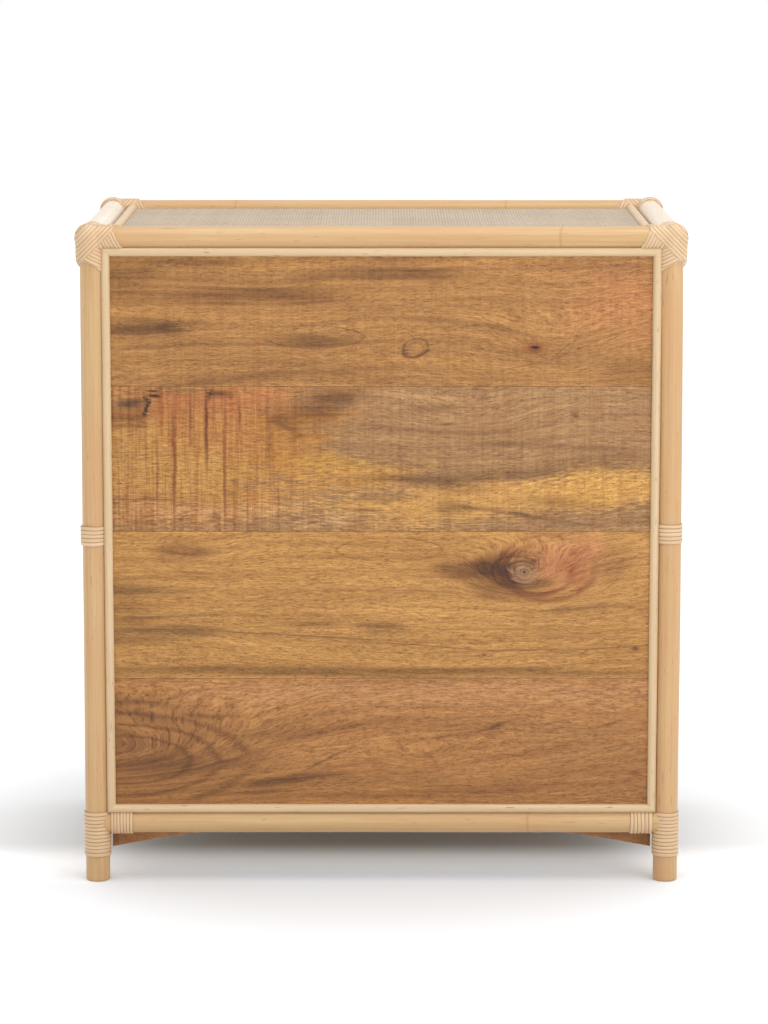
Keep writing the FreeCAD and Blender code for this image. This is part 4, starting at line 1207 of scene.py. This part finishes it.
def mat(name, node, origin, across, up, body="chest"):
    """A mat over a node's box, from a corner on its face and the two ways it spreads."""
    out = across.cross(up)
    span = [b - a for a, b in zip(*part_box(node))]
    width, height, thick = (sum(abs(n) * m for n, m in zip(way, span)) for way in (across, up, out))
    bm = new_shape()
    grain, _ = layers(bm)
    columns, rows = (2 * round(n / STRIP_WIDTH) for n in (width, height))
    bmesh.ops.create_grid(bm, x_segments=columns, y_segments=rows, size=0.5)
    bmesh.ops.translate(bm, verts=bm.verts, vec=(0.5, 0.5, 0))
    for vert in bm.verts:
        u = round(vert.co.x * columns) * STRIP_WIDTH / 2
        v = round(vert.co.y * rows) * STRIP_WIDTH / 2
        vert[grain] = (u, v, 0)
        vert.co = (vert.co.x * width, vert.co.y * height, MAT_RELIEF * (weave_height(u, v) - 1))
    rim = bmesh.ops.extrude_edge_only(bm, edges=[edge for edge in bm.edges if edge.is_boundary])
    for vert in (part for part in rim["geom"] if isinstance(part, bmesh.types.BMVert)):
        vert.co.z = -thick
    close_holes(bm)
    place = Matrix.Translation(origin) @ Matrix((across, up, out)).transposed().to_4x4()
    bmesh.ops.transform(bm, matrix=place, verts=bm.verts)
    bmesh.ops.recalc_face_normals(bm, faces=bm.faces)
    return finish_piece(name, bm, woven, body, [node])


low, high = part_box("top_mat")
mat("top_weave", "top_mat", Vector((low.x, low.y, high.z)), X, Y)
for name in ("left", "right"):
    low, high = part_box("side_mat_" + name)
    faces_plus = low.x > 0
    origin = Vector((high.x, low.y, low.z)) if faces_plus else Vector((low.x, high.y, low.z))
    mat("side_weave_" + name, "side_mat_" + name, origin, Y if faces_plus else -Y, UP)

# %% [markdown]
# ## Drawers
# Each drawer is a box with its own front, a mat laid on the front, a mitred frame of cane and
# two turned knobs. All of it rides on the drawer's own body, so it slides out as one.

# %% A turned knob
KNOB_OUTLINE = ((0.0, 0.0), (0.36, 0.0), (0.36, 0.25), (0.5, 0.34), (0.86, 0.48), (1.0, 0.64),
                (0.97, 0.8), (0.8, 0.93), (0.45, 0.99), (0.0, 1.0))


def knob(bm, root, radius, length):
    """Spun round its own axis, which points out of the drawer."""
    own = new_shape()
    points = [own.verts.new((r * radius, 0, z * length)) for r, z in KNOB_OUTLINE]
    outline = [own.edges.new(pair) for pair in zip(points, points[1:])]
    bmesh.ops.spin(own, geom=points + outline, cent=(0, 0, 0), axis=(0, 0, 1), angle=math.tau, steps=40,
                   use_merge=True)
    bmesh.ops.remove_doubles(own, verts=own.verts, dist=0.01 * MM)
    relax(own, 0.2)
    bmesh.ops.transform(own, matrix=along_run(root, root - Y * length), verts=own.verts)
    bmesh.ops.recalc_face_normals(own, faces=own.faces)
    add_shape(bm, own)


print("the knob's outline has", len(KNOB_OUTLINE), "points")

# %% Three drawers
for number in (1, 2, 3):
    drawer = f"drawer_{number}"
    eased(f"{drawer}_face", f"{drawer}_front", mango_plain, 0.8, drawer)
    eased(f"{drawer}_cheeks", f"{drawer}_sides", inner_deep, 0.8, drawer)
    eased(f"{drawer}_tail", f"{drawer}_back", inner_across, 0.8, drawer)
    eased(f"{drawer}_floor", f"{drawer}_bottom", inner_flat, 0.5, drawer)
    mat(f"{drawer}_weave", f"{drawer}_mat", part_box(f"{drawer}_mat")[0], X, UP, drawer)
    low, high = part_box(f"{drawer}_trim")
    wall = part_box(f"{drawer}_front")[0].y
    level, upright = trim_frame((low.x, low.z), (high.x, high.z), X, UP, -Y, -wall, wall - low.y)
    add_shape(level, upright)
    finish_piece(f"{drawer}_trim_frame", level, trim_cane, drawer, [f"{drawer}_trim"])
    low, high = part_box(f"{drawer}_knobs")
    knobs = new_shape()
    radius = (high.z - low.z) / 2
    for side in (-1, 1):
        root = Vector((side * (high.x - radius), wall, (low.z + high.z) / 2))
        knob(knobs, root, radius, wall - low.y)
    finish_piece(f"{drawer}_turned_knobs", knobs, knob_wood, drawer, [f"{drawer}_knobs"])

# %% [markdown]
# ## The floor
# A wide white floor catches a soft shadow and is not part of the chest. It glows a little far
# off, so that it melts into the sky, and under the back rail, where a white room would throw
# light in. A cool tint near the chest balances the warm light that comes back off the wood.

# %% Floor
floor_shape = bmesh.new()
bmesh.ops.create_grid(floor_shape, x_segments=1, y_segments=1, size=12)
floor_mesh = bpy.data.meshes.new("floor")
floor_shape.to_mesh(floor_mesh)
floor_shape.free()
paper, tree, shader = new_material("white paper", 0.9)
shader.inputs["Specular IOR Level"].default_value = 0.0
shader.inputs["Emission Color"].default_value = (1, 0.98, 0.96, 1)
floor_place = object_place(tree)
across_floor = parts(tree, floor_place)["Y"]
distance = vector_calc(tree, "LENGTH", floor_place)
far_off = remap(tree, distance, 0.35, 1.0, 0, 0.4, "SMOOTHSTEP")
coming_in = remap(tree, across_floor, 0.02, 0.13, 0, 0.28, "SMOOTHSTEP")
going_out = remap(tree, across_floor, 0.14, 0.27, 1, 0, "SMOOTHSTEP")
under_rail = times(tree, coming_in, going_out)
beneath = times(tree, remap(tree, distance, 0.25, 0.45, 1, 0, "SMOOTHSTEP"), going_out)
plug(tree, mix(tree, beneath, (0.78, 0.80, 0.82, 1), (0.69, 0.80, 0.93, 1)), shader.inputs["Base Color"])
plug(tree, plus(tree, far_off, under_rail), shader.inputs["Emission Strength"])
floor_mesh.materials.append(paper)
floor = bpy.data.objects.new("floor", floor_mesh)
put_in_scene(floor)
print("the floor is", floor.dimensions.x, "m wide")
